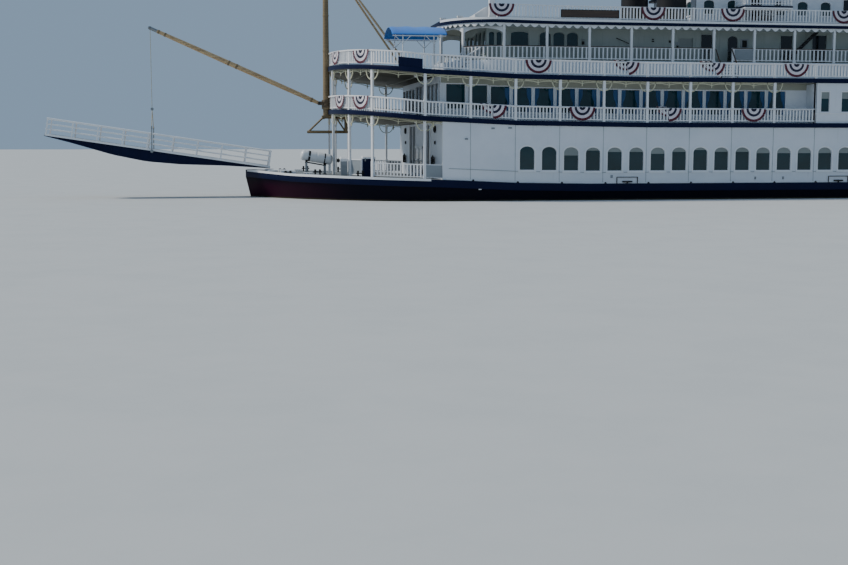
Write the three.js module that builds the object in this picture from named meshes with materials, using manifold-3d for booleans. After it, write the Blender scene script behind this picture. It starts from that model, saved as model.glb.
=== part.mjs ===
// Sternwheel paddle boat at one tenth of full size: hull, three decks of houses and galleries, stacks,
// pilothouse, a landing stage hung from a swinging boom, and the stern wheel between its two beams.
// Lengths are millimetres. X points forward, Y to port, Z up. The origin is on the flat of the bottom,
// amidships on the centreline.
import * as THREE from 'three';
import { mergeVertices } from 'three/addons/utils/BufferGeometryUtils.js';
import Module from 'manifold-3d';

const wasm = await Module();
wasm.setup();

// Driving dimensions
const GAP = 0.3;              // air between touching pieces
const BAY = 305;              // spacing of columns along the side
const COL0 = 3020;            // first column of the straight side
const HALF_BEAM = 968;        // half breadth of hull and promenade decks
const WATERLINE = 213;        // draught of the flat bottomed hull
const BOW = 4175;
const TRANSOM = -4175;
const HULL_TOP = 274;         // underside of the main deck guard
const MAIN_DECK = 324;
const DECK2 = [703, 734];     // underside and walking surface
const DECK3 = [1009, 1040];
const GALLERY = 1168;         // raised inner floor on deck three
const DECK4 = [1412, 1443];
const RAIL_HEIGHT = 100;
const WALL = 14;              // deckhouse wall thickness
const DECK_AFT = -4120;       // aft end of decks two and three
const NOSE = 557;             // forward reach of the rounded deck ends past COL0
const POST_INSET = 18;        // columns stand this far inside a deck edge

// Sheer: how much a deck has risen at X, linear between the knots
const HULL_SHEER = [[1900, 0], [2400, 9], [2900, 31], [3880, 60], [4175, 83]];
const DECK_SHEER = [[1500, 0], [2400, 12], [COL0, 40], [3580, 100]];
const ROOF_SHEER = [[2000, 0], [2560, 9], [2850, 20]];

function rise(table, x) {
  if (x <= table[0][0]) return 0;
  for (let i = 1; i < table.length; i++) {
    const [x0, z0] = table[i - 1];
    const [x1, z1] = table[i];
    if (x <= x1) return z0 + (z1 - z0) * (x - x0) / (x1 - x0);
  }
  return table[table.length - 1][1];
}
const hullRise = (x) => rise(HULL_SHEER, x);
const deckRise = (x) => rise(DECK_SHEER, x);
const roofRise = (x) => rise(ROOF_SHEER, x);
const radians = (degrees) => degrees * Math.PI / 180;

// Solids and joins
function solid(geometry) {
  const bare = geometry.clone();
  bare.deleteAttribute('normal');
  bare.deleteAttribute('uv');
  const merged = mergeVertices(bare, 1e-4);
  const mesh = new wasm.Mesh({
    numProp: 3,
    vertProperties: new Float32Array(merged.attributes.position.array),
    triVerts: new Uint32Array(merged.index.array),
  });
  return new wasm.Manifold(mesh);
}

function toGeometry(manifold) {
  const mesh = manifold.getMesh();
  const geometry = new THREE.BufferGeometry();
  geometry.setAttribute('position', new THREE.BufferAttribute(new Float32Array(mesh.vertProperties), 3));
  geometry.setIndex(new THREE.BufferAttribute(new Uint32Array(mesh.triVerts), 1));
  geometry.computeVertexNormals();
  return geometry;
}

const join = (geometries) => toGeometry(geometries.map(solid).reduce((sum, piece) => sum.add(piece)));

function cut(geometry, cutters) {
  return toGeometry(cutters.map(solid).reduce((left, tool) => left.subtract(tool), solid(geometry)));
}

// Sections of equal point count joined by quads; the sections run counterclockwise seen from the start
function loft(sections, closed = false) {
  const count = sections[0].length;
  const positions = sections.flat(2);
  const index = [];
  const last = closed ? sections.length : sections.length - 1;
  for (let s = 0; s < last; s++) {
    const here = s * count;
    const next = ((s + 1) % sections.length) * count;
    for (let p = 0; p < count; p++) {
      const q = (p + 1) % count;
      index.push(here + p, next + p, next + q, here + p, next + q, here + q);
    }
  }
  if (!closed) {
    const end = (sections.length - 1) * count;
    for (let p = 1; p < count - 1; p++) {
      index.push(0, p, p + 1);
      index.push(end, end + p + 1, end + p);
    }
  }
  const geometry = new THREE.BufferGeometry();
  geometry.setAttribute('position', new THREE.Float32BufferAttribute(positions, 3));
  geometry.setIndex(index);
  if (signedVolume(geometry) < 0) flip(geometry);
  geometry.computeVertexNormals();
  return geometry;
}

function signedVolume(geometry) {
  const position = geometry.attributes.position;
  const index = geometry.index.array;
  const [a, b, c] = [new THREE.Vector3(), new THREE.Vector3(), new THREE.Vector3()];
  let volume = 0;
  for (let i = 0; i < index.length; i += 3) {
    a.fromBufferAttribute(position, index[i]);
    b.fromBufferAttribute(position, index[i + 1]);
    c.fromBufferAttribute(position, index[i + 2]);
    volume += a.dot(b.cross(c)) / 6;
  }
  return volume;
}

function flip(geometry) {
  const index = geometry.index.array;
  for (let i = 0; i < index.length; i += 3) {
    [index[i], index[i + 1]] = [index[i + 1], index[i]];
  }
}

const box = (x0, x1, y0, y1, z0, z1) => new THREE.BoxGeometry(x1 - x0, y1 - y0, z1 - z0)
  .translate((x0 + x1) / 2, (y0 + y1) / 2, (z0 + z1) / 2);

// A slab between stations of X: half breadth, underside and top are functions of X
function slab(stations, half, low, high) {
  return loft(stations.map((x) => [
    [x, -half(x), low(x)], [x, half(x), low(x)], [x, half(x), high(x)], [x, -half(x), high(x)],
  ]));
}

// A square post turned by a heading, whose foot and head follow levels that are functions of X
function post(x, y, size, low, high, heading = 0) {
  const half = size / 2;
  const [c, t] = [Math.cos(heading), Math.sin(heading)];
  const corner = (u, v, level) => [x + u * c - v * t, y + u * t + v * c, level(x + u * c - v * t)];
  return loft([-half, half].map((u) => [
    corner(u, -half, low), corner(u, half, low), corner(u, half, high), corner(u, -half, high)]));
}

// A wall, rail or strip of one thickness that follows a path of [x, y] points
function ribbon(path, thickness, low, high, closed = false) {
  const count = path.length;
  const sections = path.map(([x, y], i) => {
    const before = path[closed ? (i + count - 1) % count : Math.max(i - 1, 0)];
    const after = path[closed ? (i + 1) % count : Math.min(i + 1, count - 1)];
    const incoming = new THREE.Vector2(x - before[0], y - before[1]);
    const outgoing = new THREE.Vector2(after[0] - x, after[1] - y);
    if (incoming.length() === 0) incoming.copy(outgoing);
    if (outgoing.length() === 0) outgoing.copy(incoming);
    incoming.normalize();
    outgoing.normalize();
    const along = incoming.clone().add(outgoing).normalize();
    const reach = thickness / 2 / along.dot(incoming);
    const side = [-along.y * reach, along.x * reach];
    return [
      [x + side[0], y + side[1], low(x + side[0])], [x - side[0], y - side[1], low(x - side[0])],
      [x - side[0], y - side[1], high(x - side[0])], [x + side[0], y + side[1], high(x + side[0])],
    ];
  });
  return loft(sections, closed);
}

// A round bar between two points, or one with a different radius at its far end
function bar(from, to, radius, sides = 8, radiusTo = radius) {
  const [a, b] = [new THREE.Vector3(...from), new THREE.Vector3(...to)];
  const length = a.distanceTo(b);
  const geometry = new THREE.CylinderGeometry(radiusTo, radius, length, sides);
  geometry.translate(0, length / 2, 0);
  const turn = new THREE.Quaternion().setFromUnitVectors(new THREE.Vector3(0, 1, 0), b.sub(a).normalize());
  return geometry.applyQuaternion(turn).translate(...from);
}

const mirrored = (path) => path.map(([x, y, heading = 0]) => [x, -y, -heading]);

const group = new THREE.Group();
const PAINT = {
  white: [0xf2f2ef, 0.45, 0], navy: [0x14244c, 0.4, 0], dark: [0x15171c, 0.5, 0],
  deck: [0x8d9296, 0.8, 0], maroon: [0x6d1b22, 0.5, 0], red: [0xa3202a, 0.5, 0],
  wood: [0xb08a5a, 0.6, 0], brown: [0x6b4428, 0.6, 0], steel: [0x8b9094, 0.4, 0.8],
  canvas: [0x2f66b8, 0.8, 0], cloth: [0xe9e9ee, 0.9, 0], black: [0x1b1c1e, 0.6, 0.2],
};

function add(name, geometry, paint) {
  const [color, roughness, metalness] = PAINT[paint];
  const mesh = new THREE.Mesh(geometry, new THREE.MeshStandardMaterial({ color, roughness, metalness }));
  mesh.name = name;
  group.add(mesh);
}

// Hull: flat bottom, raked stern, spoon bow
const BOW_START = 2600;
const BOW_FULLNESS = 3;
function hullHalf(x) {
  if (x <= BOW_START) return HALF_BEAM;
  return HALF_BEAM * (1 - ((x - BOW_START) / (BOW - BOW_START)) ** BOW_FULLNESS);
}
// Columns: X at the deck, breadth of the flat bottom over the deck's, bottom height, forward lean below
const HULL_STATIONS = [
  [TRANSOM, 0.9, 150, 0], [-3600, 0.93, 0, 0], [1900, 0.93, 0, 0], [2400, 0.93, 0, 0], [2900, 0.9, 0, 0],
  [3310, 0.84, 0, 0], [3600, 0.74, 20, 0], [3880, 0.62, 60, -10], [4060, 0.5, 110, -25],
  [4150, 0.4, 150, -38], [4172, 0.2, 165, -45],
];
const BILGE = 55;
const hull = loft(HULL_STATIONS.map(([x, flat, bottom, lean]) => {
  const half = hullHalf(x);
  const top = HULL_TOP - GAP + hullRise(x);
  const side = [
    [x + lean, half * flat, bottom], [x + lean * 0.8, half * (flat + 0.055), bottom + BILGE],
    [x, half, top],
  ];
  const other = side.map(([px, py, pz]) => [px, -py, pz]).reverse();
  return [...side, ...other];
}));

// Rudders hang under the raked stern on stocks that turn in the hull
const RUDDER_X = -3990;
const RUDDER_Y = 350;
const STOCK_RADIUS = 12;
const RUDDER_FOOT = 12;
const sternBottom = (x) => 150 * (x + 3600) / (TRANSOM + 3600);
const STOCK_TOP = sternBottom(RUDDER_X) + 25;
const stockHole = (y) => bar([RUDDER_X, y, 0], [RUDDER_X, y, STOCK_TOP + 1], STOCK_RADIUS + 1, 12);
add('hull', cut(hull, [stockHole(RUDDER_Y), stockHole(-RUDDER_Y)]), 'dark');
for (const [name, side] of [['rudder_port', 1], ['rudder_starboard', -1]]) {
  const y = side * RUDDER_Y;
  const blade = loft([[-150, 2], [-20, 9], [50, 8], [90, 2]].map(([dx, half]) => {
    const top = sternBottom(RUDDER_X + 90) - 9;
    const x = RUDDER_X + dx;
    return [[x, y - half, RUDDER_FOOT], [x, y + half, RUDDER_FOOT], [x, y + half, top], [x, y - half, top]];
  }));
  add(name, join([blade, bar([RUDDER_X, y, 40], [RUDDER_X, y, STOCK_TOP], STOCK_RADIUS, 12)]), 'dark');
}

// Main deck with its guard, and the bitts that stand along the edge of the foredeck
const GUARD = 6;
const deckStations = HULL_STATIONS.map(([x]) => x);
const deckTop = (x) => MAIN_DECK + hullRise(x);
// Columns: X, Y, height over the deck
const BITTS = [[3420, 690, 42], [3700, 580, 42], [3890, 390, 22]];
const bitts = BITTS.flatMap(([x, y, height]) => [y, -y].flatMap((side) => [
  ...[-16, 16].map((dx) => bar([x + dx, side, deckTop(x) - 8], [x + dx, side, deckTop(x) + height], 7, 8)),
  box(x - 30, x + 30, side - 4, side + 4, deckTop(x) + height * 0.45, deckTop(x) + height * 0.68),
]));
add('main_deck', join([
  slab(deckStations, (x) => hullHalf(x) + GUARD, (x) => HULL_TOP + hullRise(x), deckTop), ...bitts,
]), 'navy');

// Decks two and three: straight sides and a rounded forward end notched for the mast
const MAST_X = 3585;
const MAST_RADIUS = 25;
const MAST_TOP = 1933;
const NOSE_ANGLES = [18, 37, 57, 70, 80, 86];
const SHEER_KNOTS = [1500, 2400, COL0];
function deckHalf(x) {
  if (x <= COL0) return HALF_BEAM;
  return HALF_BEAM * Math.sqrt(Math.max(1 - ((x - COL0) / NOSE) ** 2, 0));
}
const upperStations = [
  DECK_AFT, ...SHEER_KNOTS, ...NOSE_ANGLES.map((angle) => COL0 + NOSE * Math.sin(radians(angle)))];
const mastNotch = bar([MAST_X, 0, 0], [MAST_X, 0, MAST_TOP], MAST_RADIUS + GAP, 24);
for (const [name, [low, high]] of [['deck2', DECK2], ['deck3', DECK3]]) {
  const deck = slab(upperStations, deckHalf, (x) => low + deckRise(x), (x) => high + deckRise(x));
  add(name, cut(deck, [mastNotch]), 'navy');
}

// Main deck house: plated walls flush with the side and a porch doorway in the front wall
const MAIN_FRONT = 2893;
const MAIN_AFT = -3900;
const MAIN_SIDE = 945;
const DOORWAY = [170, 215];                // half width and height of the porch doorway
const SILL = 22;
const mainHalf = [[MAIN_AFT, MAIN_SIDE], [1500, MAIN_SIDE], [1900, MAIN_SIDE], [2400, MAIN_SIDE],
  [MAIN_FRONT, MAIN_SIDE]];
const mainPath = [...mainHalf, ...mirrored(mainHalf).reverse()];
const porchDeck = deckTop(MAIN_FRONT);
const mainWalls = ribbon(mainPath, WALL, (x) => deckTop(x) + GAP, (x) => DECK2[0] - GAP + deckRise(x), true);
const doorway = box(MAIN_FRONT - 40, MAIN_FRONT + 40, -DOORWAY[0], DOORWAY[0], porchDeck + SILL,
  porchDeck + DOORWAY[1]);
add('main_house', cut(mainWalls, [doorway]), 'white');

// Porch door leaves, hinged at the sides of the doorway and clear of the rising deck when open
const LEAF = 10;
const LAP = 4;
const HINGE_X = MAIN_FRONT + WALL / 2 + LEAF / 2 + GAP;
for (const [name, side] of [['porch_door_port', 1], ['porch_door_starboard', -1]]) {
  const edges = [side, side * (DOORWAY[0] + LAP)].sort((a, b) => a - b);
  add(name, box(HINGE_X - LEAF / 2, HINGE_X + LEAF / 2, ...edges, porchDeck + SILL - LAP,
    porchDeck + DOORWAY[1] + LAP), 'dark');
}

// Deck two house: set back behind the promenade forward, flush with the side aft
const SALON_SIDE = 815;
const FLUSH_X = 275;
const FLUSH_SIDE = 945;
const HOUSE_AFT = -4050;
const SALON_FRONT = 2893;
const salonHalf = [
  [HOUSE_AFT, FLUSH_SIDE], [FLUSH_X, FLUSH_SIDE], [FLUSH_X, SALON_SIDE], [1500, SALON_SIDE],
  [2400, SALON_SIDE], [SALON_FRONT, SALON_SIDE]];
const salonPath = [...salonHalf, ...mirrored(salonHalf).reverse()];
add('deck2_house', ribbon(salonPath, WALL, (x) => DECK2[1] + GAP + deckRise(x),
  (x) => DECK3[0] - GAP + deckRise(x), true), 'white');

// Columns and rails stand just inside the deck edge; the forward ones follow the rounded end
const COLUMN = 18;
const RAIL = 10;
const LOW_RAIL = [12, 18];
const NOSE_POSTS = [80, 57, 37];
const SALON_BAYS = 8;
const DECK3_BAYS = 22;
const sideLine = HALF_BEAM - POST_INSET;
const sideX = (bay) => COL0 - bay * BAY;
// Place and heading at one angle of the rounded end, on the line of the posts or further out
function nosePoint(angle, out = 0) {
  const [reach, half] = [NOSE - POST_INSET + out, sideLine + out];
  const [c, t] = [Math.cos(radians(angle)), Math.sin(radians(angle))];
  return [COL0 + reach * t, half * c, -Math.atan2(half * t, reach * c)];
}
const ROW_ANGLES = [88, 80, 70, 57, 47, 37, 18];
function rowPath(aft, out = 0, noseOut = out) {
  const side = [COL0 + COLUMN, ...[...SHEER_KNOTS].reverse()].map((x) => [x, sideLine + out]);
  return [...ROW_ANGLES.map((angle) => nosePoint(angle, noseOut)), ...side, [aft, sideLine + out]];
}
function rowPosts(bays) {
  return [...NOSE_POSTS.map((angle) => nosePoint(angle)),
    ...Array.from({ length: bays + 1 }, (_, i) => [sideX(i), sideLine, 0])];
}
const railAt = (path, floor, rise, [low, high], thickness = RAIL) => ribbon(path, thickness,
  (x) => floor + low + rise(x), (x) => floor + high + rise(x));
const TOP_RAIL = [RAIL_HEIGHT - 7, RAIL_HEIGHT];

// Paired brackets curve out from each column to the header above
const BRACKET_REACH = 50;
const BRACKET_DROP = 62;
const BRACKET_WIDTH = 6;
const BRACKET_ARM = 8;
const BRACKET_STEPS = [0, 45, 90];
function bracket(x, y, heading, sign, top) {
  const arc = (inset) => BRACKET_STEPS.map((angle) => [
    sign * (COLUMN / 2 - 2 + BRACKET_REACH - (BRACKET_REACH - inset) * Math.cos(radians(angle))),
    -BRACKET_DROP + (BRACKET_DROP - inset) * Math.sin(radians(angle))]);
  const outer = arc(0);
  const inner = arc(BRACKET_ARM).reverse();
  const shape = new THREE.Shape([...outer, ...inner].map(([px, pz]) => new THREE.Vector2(px, pz)));
  return new THREE.ExtrudeGeometry(shape, { depth: BRACKET_WIDTH, bevelEnabled: false })
    .translate(0, 0, -BRACKET_WIDTH / 2).rotateX(Math.PI / 2).rotateZ(heading).translate(x, y, top);
}

const HEADER = [-24, -2];
const porchCorner = [COL0, sideLine - 20, 0];
const halves = [['port', (points) => points, 1], ['starboard', mirrored, -1]];
for (const [side, turn, sign] of halves) {
  const columns = turn(rowPosts(SALON_BAYS));
  const posts = columns.map(([x, y, heading]) => post(x, y, COLUMN,
    (px) => DECK2[1] + GAP + deckRise(px), (px) => DECK3[0] - GAP + deckRise(px), heading));
  const brackets = columns.flatMap(([x, y, heading]) => [-1, 1].map(
    (way) => bracket(x, y, heading, way, DECK3[0] + deckRise(x) - 12)));
  const path = turn(rowPath(FLUSH_X + WALL / 2 + GAP));
  add(`deck2_columns_${side}`, join([
    ...posts, ...brackets,
    railAt(path, DECK2[1], deckRise, TOP_RAIL), railAt(path, DECK2[1], deckRise, LOW_RAIL),
    railAt(path, DECK3[0], deckRise, HEADER),
  ]), 'white');

  const stanchions = turn(rowPosts(DECK3_BAYS)).map(([x, y, heading]) => post(x, y, 9,
    (px) => DECK3[1] + GAP + deckRise(px), (px) => DECK3[1] + RAIL_HEIGHT - 3 + deckRise(px), heading));
  const path3 = turn(rowPath(sideX(DECK3_BAYS)));
  add(`deck3_rail_${side}`, join([
    ...stanchions, railAt(path3, DECK3[1], deckRise, TOP_RAIL), railAt(path3, DECK3[1], deckRise, LOW_RAIL),
  ]), 'white');

  const porchFront = turn([...NOSE_POSTS.map((angle) => nosePoint(angle)), porchCorner]);
  const porchPosts = porchFront.map(([x, y, heading]) => post(x, y, COLUMN,
    (px) => deckTop(px) + GAP, (px) => DECK2[0] - GAP + deckRise(px), heading));
  const toWall = turn([[MAIN_FRONT + WALL / 2 + GAP, porchCorner[1]]]);
  const lintel = [porchFront[0], porchFront[1], porchFront[2], porchFront[3], ...toWall];
  const walk = [porchFront[2], porchFront[3], ...toWall];
  add(`porch_columns_${side}`, join([
    ...porchPosts, railAt(lintel, DECK2[0], deckRise, HEADER, 8),
    railAt(walk, MAIN_DECK, hullRise, TOP_RAIL), railAt(walk, MAIN_DECK, hullRise, LOW_RAIL),
  ]), 'white');
}

// Locker with a white lid beside the porch rail, and the board hung on the rail of deck three, both to port
const LOCKER = [3312, 3396, 560, 640];
const LOCKER_HEIGHT = 142;
add('porch_locker', box(...LOCKER, deckTop(LOCKER[1]) + GAP, deckTop(LOCKER[1]) + LOCKER_HEIGHT), 'navy');
const PANEL_OUT = 11;
const PANEL = [GAP, 62];
const panelPath = [nosePoint(18, PANEL_OUT + 2.6), [COL0 + COLUMN, sideLine + PANEL_OUT]];
add('rail_panel', ribbon(panelPath, 4, (x) => DECK3[1] + PANEL[0] + deckRise(x),
  (x) => DECK3[1] + PANEL[1] + deckRise(x)), 'navy');

// Raised inner gallery on deck three with its steps, and the roof that is deck four
const GALLERY_HALF = 610;
const GALLERY_NOSE = 380;
const GALLERY_COL = 2410;
const GALLERY_AFT = -3900;
const GALLERY_ANGLES = [22, 43.5, 60, 75.5, 86];
function galleryHalf(x, half = GALLERY_HALF, nose = GALLERY_NOSE) {
  if (x <= GALLERY_COL) return half;
  return half * Math.sqrt(Math.max(1 - ((x - GALLERY_COL) / nose) ** 2, 0));
}
const galleryNoseX = GALLERY_ANGLES.map((angle) => GALLERY_COL + GALLERY_NOSE * Math.sin(radians(angle)));
const galleryBase = slab([GALLERY_AFT, 1500, 2400, ...galleryNoseX], galleryHalf,
  (x) => DECK3[1] + GAP + deckRise(x), () => GALLERY);
const STEPS = 6;
const SIDE_STEPS = [750, 872];
const STEP_RUN = 22;
const stepRise = (GALLERY - DECK3[1]) / STEPS;
const sideSteps = [1, -1].map((sign) => {
  const points = [[GALLERY_HALF - 5, 0.4]];
  for (let i = 0; i < STEPS - 1; i++) {
    const y = GALLERY_HALF + (STEPS - 1 - i) * STEP_RUN;
    points.push([y, i === 0 ? 0.4 : i * stepRise], [y, (i + 1) * stepRise]);
  }
  points.push([GALLERY_HALF - 5, (STEPS - 1) * stepRise]);
  const shape = new THREE.Shape(points.map(([y, z]) => new THREE.Vector2(sign * y, DECK3[1] + 2 + z)));
  return new THREE.ExtrudeGeometry(shape, { depth: SIDE_STEPS[1] - SIDE_STEPS[0], bevelEnabled: false })
    .rotateX(Math.PI / 2).rotateZ(Math.PI / 2).translate(SIDE_STEPS[0], 0, 0);
});
const FRONT_STEPS = [2570, 2728, 430, 540];
const frontSteps = [1, -1].flatMap((sign) => Array.from({ length: 4 }, (_, i) => {
  const reach = FRONT_STEPS[1] - i * 24;
  const edges = [sign * FRONT_STEPS[2], sign * FRONT_STEPS[3]].sort((a, b) => a - b);
  const foot = DECK3[1] + deckRise(FRONT_STEPS[1]) + GAP;
  return box(FRONT_STEPS[0], reach, ...edges, foot, foot + (i + 1) * 20);
}));
add('gallery_floor', join([galleryBase, ...sideSteps, ...frontSteps]), 'white');

const ROOF_LIP = 15;
const ROOF_SEAM = 2400;
const roofStations = [ROOF_SEAM + GAP, ...galleryNoseX];
const roofHalf = (x) => galleryHalf(x, GALLERY_HALF + ROOF_LIP, GALLERY_NOSE + ROOF_LIP);
const roofTop = (x) => DECK4[1] + roofRise(x);
// Columns: X, height over the roof
const HOOD = [[2472, 96], [2484, 98], [2578, 36], [2590, 30]];
const HOOD_Y = [300, 480];
const hood = loft(HOOD.map(([x, height]) => [
  [x, HOOD_Y[0], roofTop(x) - 4], [x, HOOD_Y[1], roofTop(x) - 4], [x, HOOD_Y[1], roofTop(x) + height],
  [x, HOOD_Y[0], roofTop(x) + height]]));
const VENTS = [[2727, 0], [2640, 200], [2640, -200]];
const vents = VENTS.map(([x, y]) => post(x, y, 34, () => roofTop(x) - 6, () => roofTop(x) + 48));
const FLAG_POST = [2480, 520];
const FLAG_POST_TOP = 1880;
const roofUnder = (x) => DECK4[0] + roofRise(x);
add('deck4', slab([GALLERY_AFT - ROOF_LIP, 2000, ROOF_SEAM], roofHalf, roofUnder, roofTop), 'navy');
add('deck4_nose', join([
  slab(roofStations, roofHalf, roofUnder, roofTop), hood, ...vents,
  post(...FLAG_POST, 38, () => roofTop(FLAG_POST[0]) - 4, () => FLAG_POST_TOP),
]), 'navy');
const VALANCE_DROP = 26;
const VALANCE = 4;
const roofAngles = [0, ...GALLERY_ANGLES];
const valanceHalf = [
  [GALLERY_AFT - 4, GALLERY_HALF + 4], [2000, GALLERY_HALF + 4],
  ...roofAngles.map((angle) => [GALLERY_COL + (GALLERY_NOSE + 4) * Math.sin(radians(angle)),
    (GALLERY_HALF + 4) * Math.cos(radians(angle))])];
add('roof_valance', ribbon([...valanceHalf, ...mirrored(valanceHalf).reverse()], VALANCE,
  (x) => DECK4[0] - VALANCE_DROP + roofRise(x), (x) => DECK4[0] - GAP + roofRise(x), true), 'white');

const SUITE_SIDE = 470;
const SUITE = [-3800, 2500];
const suiteHalf = [[SUITE[0], SUITE_SIDE], [2000, SUITE_SIDE], [SUITE[1], SUITE_SIDE]];
add('gallery_house', ribbon([...suiteHalf, ...mirrored(suiteHalf).reverse()], WALL, () => GALLERY + GAP,
  (x) => DECK4[0] - GAP + roofRise(x), true), 'white');

const galleryLine = GALLERY_HALF - 10;
function galleryNosePoint(angle) {
  const [c, t] = [Math.cos(radians(angle)), Math.sin(radians(angle))];
  const reach = GALLERY_NOSE - 12;
  return [GALLERY_COL + reach * t, galleryLine * c, -Math.atan2(galleryLine * t, reach * c)];
}
const GALLERY_BAYS = 21;
const GALLERY_POST = 16;
const galleryPosts = (points) => points.map(([x, y, heading]) => post(x, y, GALLERY_POST,
  () => GALLERY + GAP, (px) => DECK4[0] - GAP + roofRise(px), heading));
for (const [side, turn] of halves) {
  const points = Array.from({ length: GALLERY_BAYS }, (_, i) => [sideX(i + 2), galleryLine, 0]);
  const [front, aft] = [points[0][0], points[points.length - 1][0]];
  const gapPosts = turn([[SIDE_STEPS[0] - 8, galleryLine]]).map(([x, y]) => post(x, y, 9,
    () => GALLERY + GAP, () => GALLERY + RAIL_HEIGHT - 3));
  const stretches = [[[front, galleryLine], [2000, galleryLine], [SIDE_STEPS[1] + 5, galleryLine]],
    [[SIDE_STEPS[0] - 3, galleryLine], [aft, galleryLine]]];
  const rails = stretches.map((stretch) => railAt(turn(stretch), GALLERY, () => 0, TOP_RAIL));
  const header = railAt(turn([[front, galleryLine], [2000, galleryLine], [aft, galleryLine]]),
    DECK4[0], roofRise, HEADER);
  add(`gallery_posts_${side}`, join([...galleryPosts(turn(points)), ...gapPosts, ...rails, header]),
    'white');

  const nose = [...GALLERY_ANGLES].reverse().map(galleryNosePoint);
  const meet = [GALLERY_POST / 2 + 4, GALLERY_POST / 2 + GAP].map((ahead) => [front + ahead, galleryLine]);
  add(`gallery_nose_${side}`, join([
    ...galleryPosts(turn([galleryNosePoint(75.5), galleryNosePoint(43.5)])),
    railAt(turn([...nose.slice(3), ...meet]), GALLERY, () => 0, TOP_RAIL),
    railAt(turn([...nose, ...meet]), DECK4[0], roofRise, HEADER),
  ]), 'white');
}

// Deck four: rail, texas house, bridge wings, pilothouse
const RAIL4_FRONT = 2450;
const RAIL4_AFT = -3880;
const rail4Half = [[RAIL4_AFT, galleryLine], [2000, galleryLine], [RAIL4_FRONT, galleryLine]];
const rail4Path = [...rail4Half, ...mirrored(rail4Half).reverse()];
const rail4Posts = [[RAIL4_AFT, 1], [RAIL4_FRONT, 1], [RAIL4_AFT, -1], [RAIL4_FRONT, -1]];
for (let bay = 2.5; sideX(bay) > RAIL4_AFT; bay++) rail4Posts.push([sideX(bay), 1], [sideX(bay), -1]);
const acrossPosts = [-360, -120, 120, 360].flatMap((y) => [[RAIL4_FRONT, y], [RAIL4_AFT, y]]);
const band4 = ([low, high]) => ribbon(rail4Path, RAIL, (x) => roofTop(x) + low, (x) => roofTop(x) + high,
  true);
const rail4Feet = [...rail4Posts.map(([x, sign]) => [x, sign * galleryLine]), ...acrossPosts];
add('deck4_rail', join([
  ...rail4Feet.map(([x, y]) => post(x, y, 9, (px) => roofTop(px) + GAP,
    (px) => roofTop(px) + RAIL_HEIGHT - 3)),
  band4(TOP_RAIL), band4(LOW_RAIL),
]), 'white');

const BOARD = [1590, 2010];
const BOARD_Z = [1462, 1516];
const boardFace = galleryLine + RAIL / 2;
for (const [side, , sign] of halves) {
  const edges = [sign * (boardFace + GAP), sign * (boardFace + 8)].sort((a, b) => a - b);
  add(`name_board_${side}`, box(...BOARD, ...edges, ...BOARD_Z), 'brown');
}

const TEXAS = [-1400, 950];
const TEXAS_SIDE = 430;
const TEXAS_TOP = 1690;
const texasPath = [[TEXAS[0], TEXAS_SIDE], [TEXAS[1], TEXAS_SIDE], [TEXAS[1], -TEXAS_SIDE],
  [TEXAS[0], -TEXAS_SIDE]];
add('texas_house', ribbon(texasPath, WALL, () => DECK4[1] + GAP, () => TEXAS_TOP - GAP, true), 'white');
const EAVES = 40;
add('texas_roof', box(TEXAS[0] - EAVES, TEXAS[1] + EAVES, -TEXAS_SIDE - EAVES, TEXAS_SIDE + EAVES, TEXAS_TOP,
  TEXAS_TOP + 26), 'navy');
const WING = [309, 671];
const WING_Z = [DECK4[1] + RAIL_HEIGHT + 1, DECK4[1] + RAIL_HEIGHT + 23];
for (const [side, , sign] of halves) {
  const edges = [sign * (TEXAS_SIDE + WALL / 2 + GAP), sign * 632].sort((a, b) => a - b);
  add(`bridge_wing_${side}`, join([
    box(...WING, ...edges, ...WING_Z),
    ...WING.map((x, i) => post(x + (i ? -8 : 8), sign * 575, 12, () => DECK4[1] + GAP, () => WING_Z[0] + 2)),
  ]), 'white');
}
const PILOT = [230, 690];
const PILOT_SIDE = 260;
const PILOT_Z = [TEXAS_TOP + 26, TEXAS_TOP + 310];
const PILOT_BEVEL = 90;
const pilotPath = [
  [PILOT[0], PILOT_SIDE], [PILOT[1] - PILOT_BEVEL, PILOT_SIDE], [PILOT[1], PILOT_SIDE - PILOT_BEVEL],
  [PILOT[1], -PILOT_SIDE + PILOT_BEVEL], [PILOT[1] - PILOT_BEVEL, -PILOT_SIDE], [PILOT[0], -PILOT_SIDE]];
const PILOT_SILL = PILOT_Z[0] + 95;
const PILOT_HEAD = PILOT_Z[1] - 45;
const pilotCutter = (x0, x1, y0, y1) => box(x0, x1, y0, y1, PILOT_SILL, PILOT_HEAD);
const pilotWindows = [
  ...[34, 142, 250].map((dx) => pilotCutter(PILOT[0] + dx, PILOT[0] + dx + 90, -400, 400)),
  ...[-112, 0, 112].map((y) => pilotCutter(PILOT[0] - 60, PILOT[1] + 60, y - 46, y + 46)),
];
const pilotWalls = ribbon(pilotPath, WALL, () => PILOT_Z[0] + GAP, () => PILOT_Z[1] - GAP, true);
add('pilothouse', cut(pilotWalls, pilotWindows), 'white');
const pilotMiddle = (PILOT[0] + PILOT[1]) / 2;
const ROOF_REACH = [290, 330];
// Columns: height over the eaves, share of the eaves' reach
const ROOF_RINGS = [[0, 1], [14, 1], [50, 0.86], [86, 0.55], [104, 0.2], [112, 0.08], [190, 0.03]];
add('pilothouse_roof', loft(ROOF_RINGS.map(([z, share]) => Array.from({ length: 16 }, (_, i) => {
  const angle = radians(11.25 + i * 22.5);
  return [pilotMiddle + ROOF_REACH[0] * share * Math.cos(angle), ROOF_REACH[1] * share * Math.sin(angle),
    PILOT_Z[1] + z];
}))), 'navy');

// Stacks with flared crowns and the spreader between them
const STACK_X = 1130;
const STACK_Y = 400;
const STACK_RADIUS = 105;
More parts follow.
